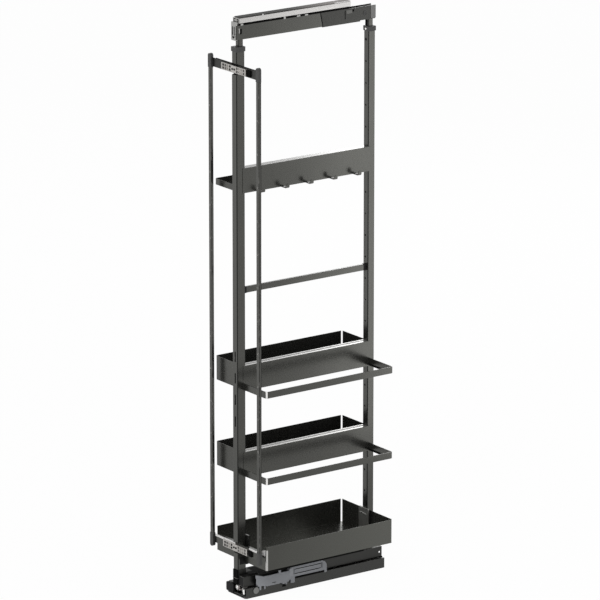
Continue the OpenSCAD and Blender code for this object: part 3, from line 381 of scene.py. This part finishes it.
# Dressed CAD pieces: widths of their rounded edges in millimetres, own finishes, and painted highlights on
# bends and flanges
ROUND_SEGMENTS = 2
LONG_SEGMENTS = 3
SHARP_ANGLE = math.radians(35.0)
FLAT_ANGLE = math.radians(0.5)
SEAM = 0.002 * MM
AT_CORNER = 0.1 * MM
LONG_EDGE = 30.0 * MM
PLAIN_WIDTH = 0.25
EDGE_WIDTH = {
    "front_foot": 0.9, "front_upright": 0.9, "rear_upright": 0.9, "front_collar": 0.8, "rear_collar": 0.8,
    "carriage_cap": 0.8, "lower_towel_rail": 0.7, "upper_towel_rail": 0.7, "crossbar": 0.9,
    "crossbar_plugs": 0.6, "left_door_rod": 0.8, "right_door_rod": 0.8, "upper_connectors": 0.8,
    "lower_connectors": 0.8, "damper_housing": 0.4, "damper_cover": 0.5, "hooks": 0.5, "front_hanger": 0.8,
    "rear_hanger": 0.8, "front_inner_tube": 0.6, "rear_inner_tube": 0.6, "bottom_beam": 0.7,
    "base_rail": 0.5, "upper_adjuster": 0.4, "lower_adjuster": 0.4, "upper_door_bar": 0.4,
    "lower_door_bar": 0.4, "top_front_cap": 0.4,
}
# These pieces' long corners are rounded wider and get painted shade
LONG_WIDTH = {
    "left_door_rod": 1.0, "right_door_rod": 1.0, "front_upright": 2.2, "rear_upright": 2.2,
    "front_inner_tube": 1.6, "rear_inner_tube": 1.6,
}
OWN_FINISH = {
    "upper_connectors": connector_nylon, "lower_connectors": connector_nylon,
    "front_collar": connector_nylon, "rear_collar": connector_nylon, "base_roller_bolts": washer_steel,
    "top_front_cap": cap_zinc, "top_rear_cap": cap_nylon, "bottom_beam": beam_coat,
    "ceiling_rail": strip_nylon, "top_channel": channel_coat, "bottom_basket": basket_coat_painted_reflection,
    "upper_door_bar": beam_coat, "front_axle": beam_coat, "front_foot": matt_black,
    "rear_hanger": hanger_painted_light_coat,
}
BUILT_ANEW = {
    "front_rollers", "base_rollers", "carriage_rollers", "beam_rollers", "collar_screws", "adjuster_screws",
}
# Height up to which the bottom basket's corner gets its painted highlight
BASKET_HIGHLIGHT_TOP = 166.0
SPLIT_LEVEL = {"bottom_basket": BASKET_HIGHLIGHT_TOP}


def rail_bend(normal, place):
    """A painted highlight on the towel rail's front bend."""
    corner_x = 110.0
    return 1.0 if normal.x > 0.3 and normal.y < -0.3 and place.x > corner_x else 0.0


def basket_bend(normal, place):
    """A half-strength painted highlight on the bottom basket's front right corner, up to a level."""
    corner_x = 115.0
    faces_corner = normal.x > 0.2 and normal.y < -0.2
    return 0.5 if faces_corner and place.x > corner_x and place.z < BASKET_HIGHLIGHT_TOP else 0.0


def flange_bend(normal, place):
    """A painted highlight on a side beam's top flange."""
    flange_end_x = 12.0
    return 0.36 if normal.z > 0.7 and place.x < flange_end_x else 0.0


def panel_bend(normal, place):
    """A painted reflection on the hook panel's top flange, stronger towards the rear."""
    flange_z = 1280.0
    front_y = -220.0
    shine_per_mm = 0.0007
    return 0.03 + shine_per_mm * (place.y - front_y) if normal.z > 0.7 and place.z > flange_z else 0.0


# Which pieces get painted highlights, and on which faces
PAINTED_HIGHLIGHT_MASKS = {
    "lower_towel_rail": rail_bend, "upper_towel_rail": rail_bend, "bottom_basket": basket_bend,
    "lower_basket_beam": flange_bend, "upper_basket_beam": flange_bend, "hook_panel": panel_bend,
}


def settle(bm, name, body, material):
    """Makes a piece of a mesh: smooth faces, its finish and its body."""
    for face in bm.faces:
        face.smooth = True
    mesh = bpy.data.meshes.new(name)
    bm.to_mesh(mesh)
    bm.free()
    mesh.materials.append(material)
    obj = bpy.data.objects.new(name, mesh)
    scene.collection.objects.link(obj)
    normals = obj.modifiers.new("even_shading", "WEIGHTED_NORMAL")
    normals.weight = 100
    normals.keep_sharp = True
    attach(obj, body)
    return obj


def round_edges(bm, edges, width, segments=ROUND_SEGMENTS, mark="rim"):
    """Rounds edges and marks the new faces, as rims or as long corners."""
    layer = bm.faces.layers.float.get(mark) or bm.faces.layers.float.new(mark)
    made = bmesh.ops.bevel(bm, geom=edges, offset=width, offset_type="OFFSET", affect="EDGES",
                           segments=segments, profile=0.5, material=-1, clamp_overlap=False)
    for face in made["faces"]:
        face[layer] = 1.0


def sharp_edges(bm):
    """The edges where two faces meet at a clear angle."""
    return [edge for edge in bm.edges if edge.is_manifold and edge.calc_face_angle(0.0) > SHARP_ANGLE]


def corner_edges(bm, low, high):
    """The long upright edges at the corners of a piece's box."""
    def at_corner(vert):
        away = [min(abs(vert.co[axis] - low[axis]), abs(vert.co[axis] - high[axis])) for axis in (0, 1)]
        return max(away) < AT_CORNER

    return [edge for edge in bm.edges
            if edge.calc_length() > LONG_EDGE and at_corner(edge.verts[0]) and at_corner(edge.verts[1])]


def copy_of(node):
    """A CAD piece's mesh with its seams merged and its flat faces joined."""
    bm = bmesh.new()
    bm.from_mesh(frame["nodes"][node].data)
    bmesh.ops.remove_doubles(bm, verts=bm.verts, dist=SEAM)
    bmesh.ops.dissolve_limit(bm, angle_limit=FLAT_ANGLE, verts=bm.verts[:], edges=bm.edges[:])
    return bm


def mark_bends(bm, bend):
    """Marks how strong a painted highlight each face gets, from its normal and its middle in millimetres."""
    bm.normal_update()
    layer = bm.faces.layers.float.new("bend")
    for face in bm.faces:
        face[layer] = bend(face.normal, face.calc_center_median() / MM)


def dress(node):
    """A CAD piece in its finish, with rounded edges, with painted shade on its rounder long edges, and with
    painted highlights on marked bends and flanges.
    """
    bm = copy_of(node)
    if node in LONG_WIDTH:
        long_edges = corner_edges(bm, *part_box(node))
        round_edges(bm, long_edges, LONG_WIDTH[node] * MM, LONG_SEGMENTS, "corner")
    round_edges(bm, sharp_edges(bm), EDGE_WIDTH.get(node, PLAIN_WIDTH) * MM)
    if node in SPLIT_LEVEL:
        bmesh.ops.bisect_plane(bm, geom=bm.verts[:] + bm.edges[:] + bm.faces[:],
                               plane_co=(0, 0, SPLIT_LEVEL[node] * MM), plane_no=(0, 0, 1))
    if node in PAINTED_HIGHLIGHT_MASKS:
        mark_bends(bm, PAINTED_HIGHLIGHT_MASKS[node])
    material = OWN_FINISH.get(node, finishes[slot_of[node]])
    obj = settle(bm, f"{node}_dressed", body_of[node], material)
    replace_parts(obj, node)


for node in slot_of:
    if node not in BUILT_ANEW:
        dress(node)


# Places on the CAD pieces, and shapes for the added details, in millimetres
class Faces(NamedTuple):
    """Where a piece's box ends on each side."""
    left: float
    right: float
    front: float
    rear: float
    bottom: float
    top: float


def faces(node):
    """The faces of a CAD piece's box."""
    low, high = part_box(node)
    ends = (low.x, high.x, low.y, high.y, low.z, high.z)
    return Faces(*(round(end / MM, 3) for end in ends))


def about(middle, half):
    """A range round its middle."""
    return middle - half, middle + half


def off(place, x, y, z):
    """Three ranges, set off from a place."""
    return [(start + low, start + high) for start, (low, high) in zip(place, (x, y, z))]


def block(bm, x, y, z, width):
    """A block with rounded edges, from its three ranges."""
    made = bmesh.ops.create_cube(bm, size=1.0)["verts"]
    low, high = (Vector(corner) * MM for corner in zip(x, y, z))
    bmesh.ops.scale(bm, verts=made, vec=high - low)
    bmesh.ops.translate(bm, verts=made, vec=(low + high) / 2)
    edges = list(dict.fromkeys(edge for vert in made for edge in vert.link_edges))
    round_edges(bm, edges, width * MM)


def blocks(name, body, material, ranges, width=0.3):
    """One piece of several rounded blocks."""
    bm = bmesh.new()
    for x, y, z in ranges:
        block(bm, x, y, z, width)
    settle(bm, name, body, material)


def plate(bm, outline, y, width):
    """A plate with rounded edges: an outline of (x, z) points pushed out between two depths."""
    face = bm.faces.new([bm.verts.new((x * MM, y[0] * MM, z * MM)) for x, z in outline])
    pushed = bmesh.ops.extrude_face_region(bm, geom=[face])["geom"]
    verts = [item for item in pushed if isinstance(item, bmesh.types.BMVert)]
    bmesh.ops.translate(bm, verts=verts, vec=(0, (y[1] - y[0]) * MM, 0))
    bmesh.ops.recalc_face_normals(bm, faces=bm.faces[:])
    round_edges(bm, bm.edges[:], width * MM)


TO_FRONT = Matrix.Rotation(math.radians(-90), 3, "Z")
TO_REAR = Matrix.Rotation(math.radians(90), 3, "Z")


def turned(bm, profile, place, turn=None, closed=True, steps=40):
    """A profile of (along the axis, radius) points, spun round the X axis, turned and set at a place."""
    part = bmesh.new()
    verts = [part.verts.new((along * MM, 0, radius * MM)) for along, radius in profile]
    ends = verts[1:] + verts[:1] if closed else verts[1:]
    edges = [part.edges.new(pair) for pair in zip(verts, ends)]
    bmesh.ops.spin(part, geom=verts + edges, cent=(0, 0, 0), axis=(1, 0, 0), angle=math.tau, steps=steps,
                   use_merge=True)
    bmesh.ops.remove_doubles(part, verts=part.verts, dist=0.001 * MM)
    bmesh.ops.recalc_face_normals(part, faces=part.faces)
    if turn:
        bmesh.ops.rotate(part, verts=part.verts, cent=(0, 0, 0), matrix=turn)
    bmesh.ops.translate(part, verts=part.verts, vec=Vector(place) * MM)
    mesh = bpy.data.meshes.new("turned_part")
    part.to_mesh(mesh)
    part.free()
    bm.from_mesh(mesh)
    bpy.data.meshes.remove(mesh)


def button(radius, rim, dish):
    """A profile of a flat button with a dished middle: its face is at its highest on the rim."""
    return [(-0.4, 0.0), (-0.4, radius), (rim, radius), (rim, dish + 0.6), (-0.2, dish), (-0.2, 0.0)]


# Rollers
BORE = 3.06
HUB_WALL = 1.2
LEAST_RIM = 1.6
RIM_SHARE = 0.18
SIDE_SINK = 0.8
MIDDLE_REACH = 10.0


def bearing(rings, seals, lane, radius, place):
    """A ball bearing: a ring with a crowned tread and sunk sides, and a seal in each side."""
    half = (lane[1] - lane[0]) / 2
    middle = ((lane[0] + lane[1]) / 2, *place)
    inner = BORE + HUB_WALL
    outer = radius - max(LEAST_RIM, radius * RIM_SHARE)
    sunk = half - SIDE_SINK
    right = [(half, BORE), (half, inner), (sunk, inner + 0.1), (sunk, outer - 0.1), (half - 0.1, outer),
             (half - 0.1, radius - 0.7), (half - 0.4, radius - 0.2), (half - 1.0, radius)]
    left = [(-along, reach) for along, reach in reversed(right)]
    turned(rings, right + left, middle)
    for side in (-1, 1):
        turned(seals, [(side * (half - 0.7), inner + 0.25), (side * (half - 0.35), inner + 0.45),
                       (side * (half - 0.35), outer - 0.45), (side * (half - 0.7), outer - 0.25)], middle)


def bearings(name, node, lanes, ring, seal):
    """Bearings on a CAD axle, in place of plain CAD rollers."""
    low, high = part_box(node)
    place = ((low.y + high.y) / 2 / MM, (low.z + high.z) / 2 / MM)
    radius = (high.z - low.z) / 2 / MM
    rings, seals = bmesh.new(), bmesh.new()
    for lane in lanes:
        bearing(rings, seals, lane, radius, place)
    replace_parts(settle(rings, f"{name}_rings", body_of[node], ring), node)
    settle(seals, f"{name}_seals", body_of[node], seal)


def widths_of(node):
    """How far each point of a CAD piece lies from the middle, to the right."""
    return [vert.co.x / MM for vert in frame["nodes"][node].data.vertices]


def side_lanes(node):
    """Where a mirrored pair of CAD rollers runs, from side to side."""
    reach = [x for x in widths_of(node) if x > MIDDLE_REACH]
    return (-max(reach), -min(reach)), (min(reach), max(reach))


def middle_lane(node):
    """Where the CAD roller in the middle runs, from side to side."""
    reach = [x for x in widths_of(node) if abs(x) < MIDDLE_REACH]
    return ((min(reach), max(reach)),)


for node in ("base_rollers", "carriage_rollers", "beam_rollers"):
    bearings(node, node, side_lanes(node), polished_steel, seal_nylon)
bearings("front_side_rollers", "front_rollers", side_lanes("front_rollers"), bolt_steel, seal_nylon)
bearings("front_middle_roller", "front_rollers", middle_lane("front_rollers"), polished_steel, seal_painted_light)

# Screws
front_upright = faces("front_upright")
rear_upright = faces("rear_upright")
upper_adjuster = faces("upper_adjuster")
lower_adjuster = faces("lower_adjuster")
adjuster_levels = [(part.bottom + part.top) / 2 for part in (lower_adjuster, upper_adjuster)]
ADJUSTER_SCREW_X = 5.0
COLLAR_SCREW_RISE = 6.0


def screw(bm, place, turn, head_r, head_t, shank_r, shank_l):
    """A screw with a domed head and a socket, its head towards +X before the turn."""
    profile = [(-shank_l, 0.0), (-shank_l, shank_r), (0, shank_r), (0, head_r), (head_t * 0.4, head_r),
               (head_t * 0.8, head_r * 0.86), (head_t, head_r * 0.6), (head_t, head_r * 0.5),
               (head_t * 0.3, head_r * 0.42), (head_t * 0.3, 0.0)]
    turned(bm, profile, place, turn, closed=False, steps=24)


bm = bmesh.new()
for z in adjuster_levels:
    for x in (-ADJUSTER_SCREW_X, ADJUSTER_SCREW_X):
        screw(bm, (x, upper_adjuster.front, z), TO_FRONT, head_r=3.2, head_t=1.5, shank_r=1.5, shank_l=8.4)
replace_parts(settle(bm, "adjuster_socket_screws", "door_adjusters", black_nylon),
            "adjuster_screws")
bm = bmesh.new()
collar_screw_z = front_upright.top + COLLAR_SCREW_RISE
for y, turn in ((faces("front_collar").rear, TO_REAR), (faces("rear_collar").front, TO_FRONT)):
    screw(bm, (0, y, collar_screw_z), turn, head_r=3.5, head_t=1.5, shank_r=1.5, shank_l=2.9)
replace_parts(settle(bm, "collar_socket_screws", "frame", polished_steel), "collar_screws")

# Door carrier: plates of painted shade in the pockets, black clips and gaskets on the bars, and eyelets in
# the rods
upper_bar = faces("upper_door_bar")
lower_bar = faces("lower_door_bar")
DARK_POCKETS = (-50.25, -17.25)
GREY_POCKETS = (-39.25, 17.25, 50.25)
POCKET_ROWS = (-4.5, 4.5)
EYELET_COUNT = 13
EYELET_PITCH = 98.0
EYELET_RISE = 138.1
EYELET = [(-0.6, 1.7), (-0.6, 2.15), (0.05, 2.15), (0.05, 3.0), (0.3, 2.8), (0.4, 2.3), (0.3, 1.7)]


def pocket_shade_plates(columns):
    """Plates of painted shade in the adjusters' pockets, sunk below their front faces."""
    depth = (upper_adjuster.front + 1.1, upper_adjuster.front + 2.6)
    return [(about(x, 3.9), depth, about(z + row, 3.1))
            for z in adjuster_levels for x in columns for row in POCKET_ROWS]


# Dark and grey plates paint the shade in the adjusters' pockets
blocks("dark_pocket_painted_shade", "door_adjusters", black_nylon,
       pocket_shade_plates(DARK_POCKETS), width=0.5)
blocks("grey_pocket_painted_shade", "door_adjusters", shade_and_highlight_grey,
       pocket_shade_plates(GREY_POCKETS), width=0.5)
blocks("bar_clips", "door_carrier", matt_black,
       [off((upper_adjuster.right, upper_bar.front, z), (4.0, 19.5), (-4.1, 0.1), (-9.6, 9.6))
        for z in adjuster_levels], width=0.8)
blocks("bar_gaskets", "door_carrier", black_nylon,
       [off((x, upper_bar.front, z), (0.0, 3.6), (-0.9, 0.1), (-12.6, 12.6))
        for z in adjuster_levels for x in (upper_bar.left + 0.1, upper_bar.right - 3.7)])
bm = bmesh.new()
for rod in (faces("left_door_rod"), faces("right_door_rod")):
    for count in range(EYELET_COUNT):
        z = rod.bottom + EYELET_RISE + EYELET_PITCH * count
        turned(bm, EYELET, ((rod.left + rod.right) / 2, rod.front, z), TO_FRONT, steps=20)
settle(bm, "rod_eyelets", "door_carrier", bolt_steel)

# Damper: black strips of painted shade in its grooves and gaps, ribs of its mouldings, light strips of
# painted highlight beside the grooves, and black strips of painted shadow, measured from the joint of
# housing and cover
damper = faces("damper_cover")
damper_joint = (damper.right, damper.front, damper.bottom)
base_rail = faces("base_rail")
base_side = (base_rail.right, damper.front, base_rail.bottom)
GROOVE = (-0.8, 0.1)
PROUD_DEPTH = (-0.4, 0.5)
GROOVE_RUN = (20.1, 113.9)
HIGHLIGHT_RUN = (20.5, 113.5)
# Black strips paint the shade in the damper's grooves and in the gap under its cover
blocks("damper_groove_painted_shade", "base", matt_black,
       [off(damper_joint, GROOVE, GROOVE_RUN, (39.0, 41.2)),
        off(damper_joint, GROOVE, GROOVE_RUN, (25.4, 27.8)),
        off(damper_joint, GROOVE, (16.0, 18.0), (25.4, 42.0)),
        off(damper_joint, (-3.1, -0.4), (20.2, 126.8), (11.3, 17.3)),
        off(damper_joint, GROOVE, (-61.0, -47.0), (13.3, 15.3)),
        off(damper_joint, (-0.8, 0.3), (-25.5, -13.0), (0.4, 3.0))], width=0.1)
blocks("damper_ribs", "base", damper_nylon,
       [off(damper_joint, PROUD_DEPTH, (114.0, 116.0), (24.6, 39.2)),
        off(damper_joint, (-3.4, -0.4), (-37.2, -29.4), (38.5, 47.4)),
        off(damper_joint, (-0.4, 0.6), (6.4, 19.6), (19.0, 21.0)),
        off(damper_joint, (-0.4, 0.3), (-113.0, -7.0), (32.5, 34.0))], width=0.35)
# Light strips paint highlights beside the grooves
blocks("damper_painted_highlights", "base", painted_highlight_nylon,
       [off(damper_joint, PROUD_DEPTH, HIGHLIGHT_RUN, (36.6, 38.7)),
        off(damper_joint, PROUD_DEPTH, HIGHLIGHT_RUN, (23.0, 25.1)),
        off(damper_joint, PROUD_DEPTH, (2.0, 14.6), (21.5, 45.5))])
# Black strips paint shadows on the cover's rear and on the base rail's side
blocks("damper_shades", "base", matt_black,
       [off(damper_joint, (-0.8, 0.6), (116.8, 118.8), (26.0, 42.5)),
        off(base_side, (-0.1, 0.6), (-21.5, -9.0), (12.5, 17.5))], width=0.2)

# Runner front: closed beam end, a plug, black strips of painted shadow on the beam's top, a light band of
# painted highlight across the foot, and wings and a side plate round the foot
beam = faces("bottom_beam")
foot = faces("front_foot")
carriage = faces("carriage_rails")
beam_end = (0, beam.front, beam.bottom)
beam_top = (0, beam.front, beam.top)
runner_end = (carriage.right, carriage.front, carriage.bottom)
upright_foot = (front_upright.right, front_upright.rear, front_upright.bottom)
blocks("beam_end_cap", "frame", black_nylon,
       [off(beam_end, (11.5, 33.8), (0.0, 1.6), (2.7, 27.9))], width=0.4)
# A light band across the foot paints the highlight of a chamfer
blocks("foot_painted_highlight", "frame", shade_and_highlight_grey,
       [off((0, foot.front, foot.bottom), (-11.5, 11.5), (-0.5, 3.7), (17.1, 18.7))], width=0.4)
blocks("runner_end_plug", "carriage", polished_steel,
       [off(runner_end, (-7.6, -0.6), (-2.9, 0.0), (7.4, 22.2))], width=1.4)
# Black strips paint the shadows on the beam's top
blocks("beam_painted_shadows", "frame", black_nylon,
       [off(beam_top, (11.6, 28.5), (0.4, 27.0), (-0.2, 0.5)),
        off(beam_top, (6.0, 28.5), (27.2, 58.0), (-0.2, 3.0)),
        off(beam_top, (-28.5, 34.5), (59.0, 426.0), (-0.2, 0.4))], width=0.2)
blocks("foot_wings", "frame", black_nylon,
       [off(upright_foot, (-0.2, 0.6), (-22.0, 0.0), (15.5, 38.0)),
        off(upright_foot, (-2.5, 0.6), (-0.2, 8.5), (12.6, 24.2))], width=0.25)
blocks("foot_side_plate", "frame", beam_coat,
       [off(upright_foot, (-0.2, 0.7), (-26.8, -0.4), (-14.8, 0.4))])

# Door bars: painted shade in the recess behind the upper one, and lips that keep clear of the upright when
# the door is adjusted: light ones on the lower bar and adjuster, and black ones of painted shade along the
# upper bar's top
LIP_CLEAR = 15.2
lower_lip = (0, lower_bar.front, lower_adjuster.top)
lower_bar_left = (lower_bar.left, lower_bar.front, lower_bar.top)
lower_bar_right = (lower_bar.right, lower_bar.front, lower_bar.top)
upper_lip = (0, upper_bar.front, upper_bar.top)
upper_lip_depth = (-0.1, upper_bar.rear - upper_bar.front - 0.2)
# A black block paints the shade in the recess behind the upper bar
blocks("recess_painted_shade", "frame", matt_black,
       [off((front_upright.left, upper_bar.rear, upper_bar.top), (-5.0, 0.1), (0.1, 1.5), (-4.5, 1.9))])
blocks("lower_adjuster_lip", "door_adjusters", trim_and_highlight_nylon,
       [off(lower_lip, (lower_adjuster.left, -LIP_CLEAR), (-2.1, -0.2), (-0.2, 4.9)),
        off(lower_lip, (-LIP_CLEAR - 0.4, -5.0), (-2.1, -0.2), (-0.2, 3.1))], width=0.5)
blocks("lower_bar_lips", "door_carrier", trim_and_highlight_nylon,
       [off(lower_bar_left, (4.5, 46.5), (-1.1, 0.3), (-5.5, 1.1)),
        off(lower_bar_right, (-46.5, -6.5), (-1.1, 0.3), (-4.1, 1.9))], width=0.4)
# Black strips paint the shade along the upper bar's top
blocks("upper_bar_painted_shade", "door_carrier", matt_black,
       [off(upper_lip, (upper_bar.left + 15.5, -LIP_CLEAR), upper_lip_depth, (-0.3, 1.9)),
        off(upper_lip, (LIP_CLEAR, upper_bar.right - 6.5), upper_lip_depth, (-0.3, 1.9)),
        off(upper_lip, (-LIP_CLEAR, LIP_CLEAR), (-0.6, 0.1), (-2.6, 0.0))])

# Bottom basket: a black strip underneath that paints its shadow, corner ear and hanger latch
basket = faces("bottom_basket")
hanger = faces("rear_hanger")
basket_corner = (basket.right, basket.front, basket.bottom)
EAR_OUTLINE = [(-25.5, 43.6), (-6.1, 43.6), (-6.1, 62.5), (-20.5, 57.5), (-25.5, 53.0)]
# A black strip paints the shadow under the basket
blocks("basket_painted_shadow", "frame", matt_black,
       [off(basket_corner, (-14.5, -0.9), (5.5, 351.5), (-5.4, 0.3))], width=0.4)
bm = bmesh.new()
plate(bm, [(basket.right + x, basket.bottom + z) for x, z in EAR_OUTLINE],
      (basket.front - 0.4, basket.front + 1.2), width=0.4)
settle(bm, "corner_ear", "frame", trim_and_highlight_nylon)
blocks("hanger_latch", "frame", polished_steel,
       [off((0, hanger.front, hanger.bottom), (-16.0, 17.0), (-1.0, 0.1), (58.0, 62.4))], width=0.4)

# Uprights and hooks: black sheets that paint the shade behind the holes and slots, a light pad in each
# hook's seat that paints a highlight, and a hole plug
hooks = faces("hooks")
HOOK_COUNT = 5
HOOK_PITCH = 85.5
PLUG_DROP = 25.5
# Black sheets paint the shade inside the uprights behind their holes and slots
blocks("upright_painted_shade", "frame", matt_black,
       [off((0, rear_upright.front, 0), (-8.0, 6.0), (1.6, 2.2), (90.0, 1590.0)),
        off((0, front_upright.front, 0), (-7.0, 7.0), (1.6, 2.3), (505.0, 750.0))], width=0.2)
first_hook_y = (hooks.front + hooks.rear - HOOK_PITCH * (HOOK_COUNT - 1)) / 2
hook_places = [(hooks.left, first_hook_y + HOOK_PITCH * count, hooks.bottom) for count in range(HOOK_COUNT)]
# Light pads paint the highlight on each hook's tip
blocks("hook_painted_highlights", "frame", trim_and_highlight_nylon,
       [off(place, (8.3, 14.8), (-3.5, 2.5), (2.1, 3.7)) for place in hook_places], width=0.5)
bm = bmesh.new()
turned(bm, button(radius=4.0, rim=0.2, dish=2.6), (-1.5, rear_upright.front, rear_upright.top - PLUG_DROP),
       TO_FRONT, closed=False, steps=24)
settle(bm, "upright_hole_plug", "frame", matt_black)

# Half baskets: a black strip that paints the shade under each towel rail's rear arm, and a dark line that
# paints a shadow along each top flange
towel_rails = [faces("lower_towel_rail"), faces("upper_towel_rail")]
side_beams = [faces("lower_basket_beam"), faces("upper_basket_beam")]
# Black strips paint the shade under the towel rails' rear arms
blocks("rail_arm_painted_shade", "frame", matt_black,
       [off((rail.left, rail.rear, rail.bottom), (1.3, 83.3), (-5.9, -2.8), (-2.4, 2.0))
        for rail in towel_rails], width=0.5)
# Dark lines paint a shadow along the side beams' top flanges
blocks("flange_painted_shadow_lines", "frame", cap_nylon,
       [off((0, side_beam.front, side_beam.top), (-5.5, 1.5), (9.5, 445.5), (-0.1, 0.4))
        for side_beam in side_beams], width=0.15)

# Top guide: black strips that paint the shade in the gap, clips, end plug, black strips that paint the shade
# of slots, latch and marks, a black line that paints the shadow behind the cover's end, and a black pad that
# paints shade on the rear tube
telescope = faces("telescope_rail")
channel = faces("top_channel")
cover = faces("top_cover")
front_cap = faces("top_front_cap")
strip = faces("ceiling_rail")
rear_tube = faces("rear_inner_tube")
tube_foot = (0, rear_tube.front, faces("rear_collar").top)
gap_start = (0, telescope.front, channel.top)
clip_start = (cover.right, telescope.front, channel.top)
telescope_end = (0, telescope.front, telescope.top)
cover_corner = (cover.right, cover.front, cover.bottom)
cap_foot = (0, front_cap.front, front_cap.bottom)
channel_corner = (channel.right, channel.rear, channel.top)
COVER_END_RUN = 8.5
CAP_SLOT = (-0.1, 1.5)
LINE = (-0.3, 0.15)
# Black strips paint the shade in the gap under the telescope rail
blocks("gap_painted_shade", "top", matt_black,
       [off(gap_start, x, (9.0, 390.0), (-0.4, 6.7)) for x in ((-10.4, -6.4), (6.4, 10.4))], width=0.4)
blocks("rail_clips", "top", cap_zinc,
       [off(clip_start, (-1.6, 0.0), (6.0, 14.5), (-0.7, 5.0)),
        off(clip_start, (-1.6, 0.4), (155.5, 162.5), (-0.8, 6.0)),
        off(clip_start, (-1.6, -0.1), (202.0, 214.0), (-0.6, 4.0)),
        off(clip_start, (-1.6, -0.1), (230.0, 241.0), (-0.6, 4.0))], width=0.4)
blocks("telescope_end_plug", "telescope", plug_nylon,
       [off(telescope_end, (-15.6, 15.6), (-2.4, 0.0), (-13.4, 0.6)),
        off(telescope_end, (-7.0, 7.0), (-3.4, -2.2), (-9.2, -3.6))], width=0.6)
blocks("telescope_end_groove", "telescope", black_nylon,
       [off(telescope_end, (-12.2, 12.2), (-2.7, -2.2), (-11.2, -1.6))], width=0.15)
blocks("cover_clip", "top", plug_nylon,
       [off(cover_corner, (-0.1, 0.6), (8.3, 11.5), (19.0, 32.6))])
# A black strip paints the shade of the cover's slot
blocks("cover_slot_painted_shade", "top", matt_black,
       [off(cover_corner, LINE, (11.9, 18.9), (16.4, 31.6))], width=0.1)
# Black strips paint the shade of the cap's slots
blocks("cap_slots_painted_shade", "top", matt_black,
       [off(cap_foot, (-5.2, -1.2), CAP_SLOT, (15.5, 40.5)),
        off(cap_foot, (3.4, 7.4), CAP_SLOT, (15.5, 40.5)),
        off(cap_foot, (-4.6, 6.6), CAP_SLOT, (7.9, 12.1))], width=0.1)
blocks("latch_lines", "top", matt_black,
       [off(channel_corner, LINE, (-108.7, -105.9), (-30.0, -4.2)),
        off(channel_corner, LINE, (-81.5, -75.5), (-11.0, -4.0))], width=0.1)
bm = bmesh.new()
turned(bm, button(radius=6.0, rim=0.1, dish=4.4), (channel.right, channel.rear - 37.0, channel.top - 19.5),
       closed=False, steps=32)
settle(bm, "channel_dimple", "top", connector_nylon)
# A black line paints the shadow behind the cover's slanted end
bm = bmesh.new()
slant = math.atan2(COVER_END_RUN, cover.top - cover.bottom)
block(bm, (channel.right - 0.2, channel.right + 0.15), (-1.9, 1.9), (-20.4, 20.4), width=0.1)
bmesh.ops.rotate(bm, verts=bm.verts, cent=(0, 0, 0), matrix=Matrix.Rotation(slant, 3, "X"))
bmesh.ops.translate(bm, verts=bm.verts, vec=Vector((0, cover.rear - 2.4, cover.bottom + 20.4)) * MM)
settle(bm, "cover_end_painted_shadow", "top", matt_black)
blocks("strip_marker", "ceiling", trim_and_highlight_nylon,
       [off((strip.right, strip.front, strip.top), (-3.0, 0.5), (80.6, 85.4), (-2.8, -0.05))], width=0.2)
blocks("strip_end_sleeve", "ceiling", trim_and_highlight_nylon,
       [off((0, strip.rear, strip.top), (-12.2, 12.2), (-56.0, 0.0), (-2.8, -0.05))], width=0.4)
# A black pad paints the shade on the rear inner tube's front
blocks("tube_painted_shade", "top", matt_black,
       [off(tube_foot, (-8.5, 3.5), (-0.3, 0.5), (0.5, 18.5))], width=0.2)
blocks("latch_tab", "top", latch_coat,
       [off(channel_corner, (-0.2, 0.7), (-103.5, -82.5), (-14.2, -4.0))])

scene.view_settings.view_transform = "Standard"
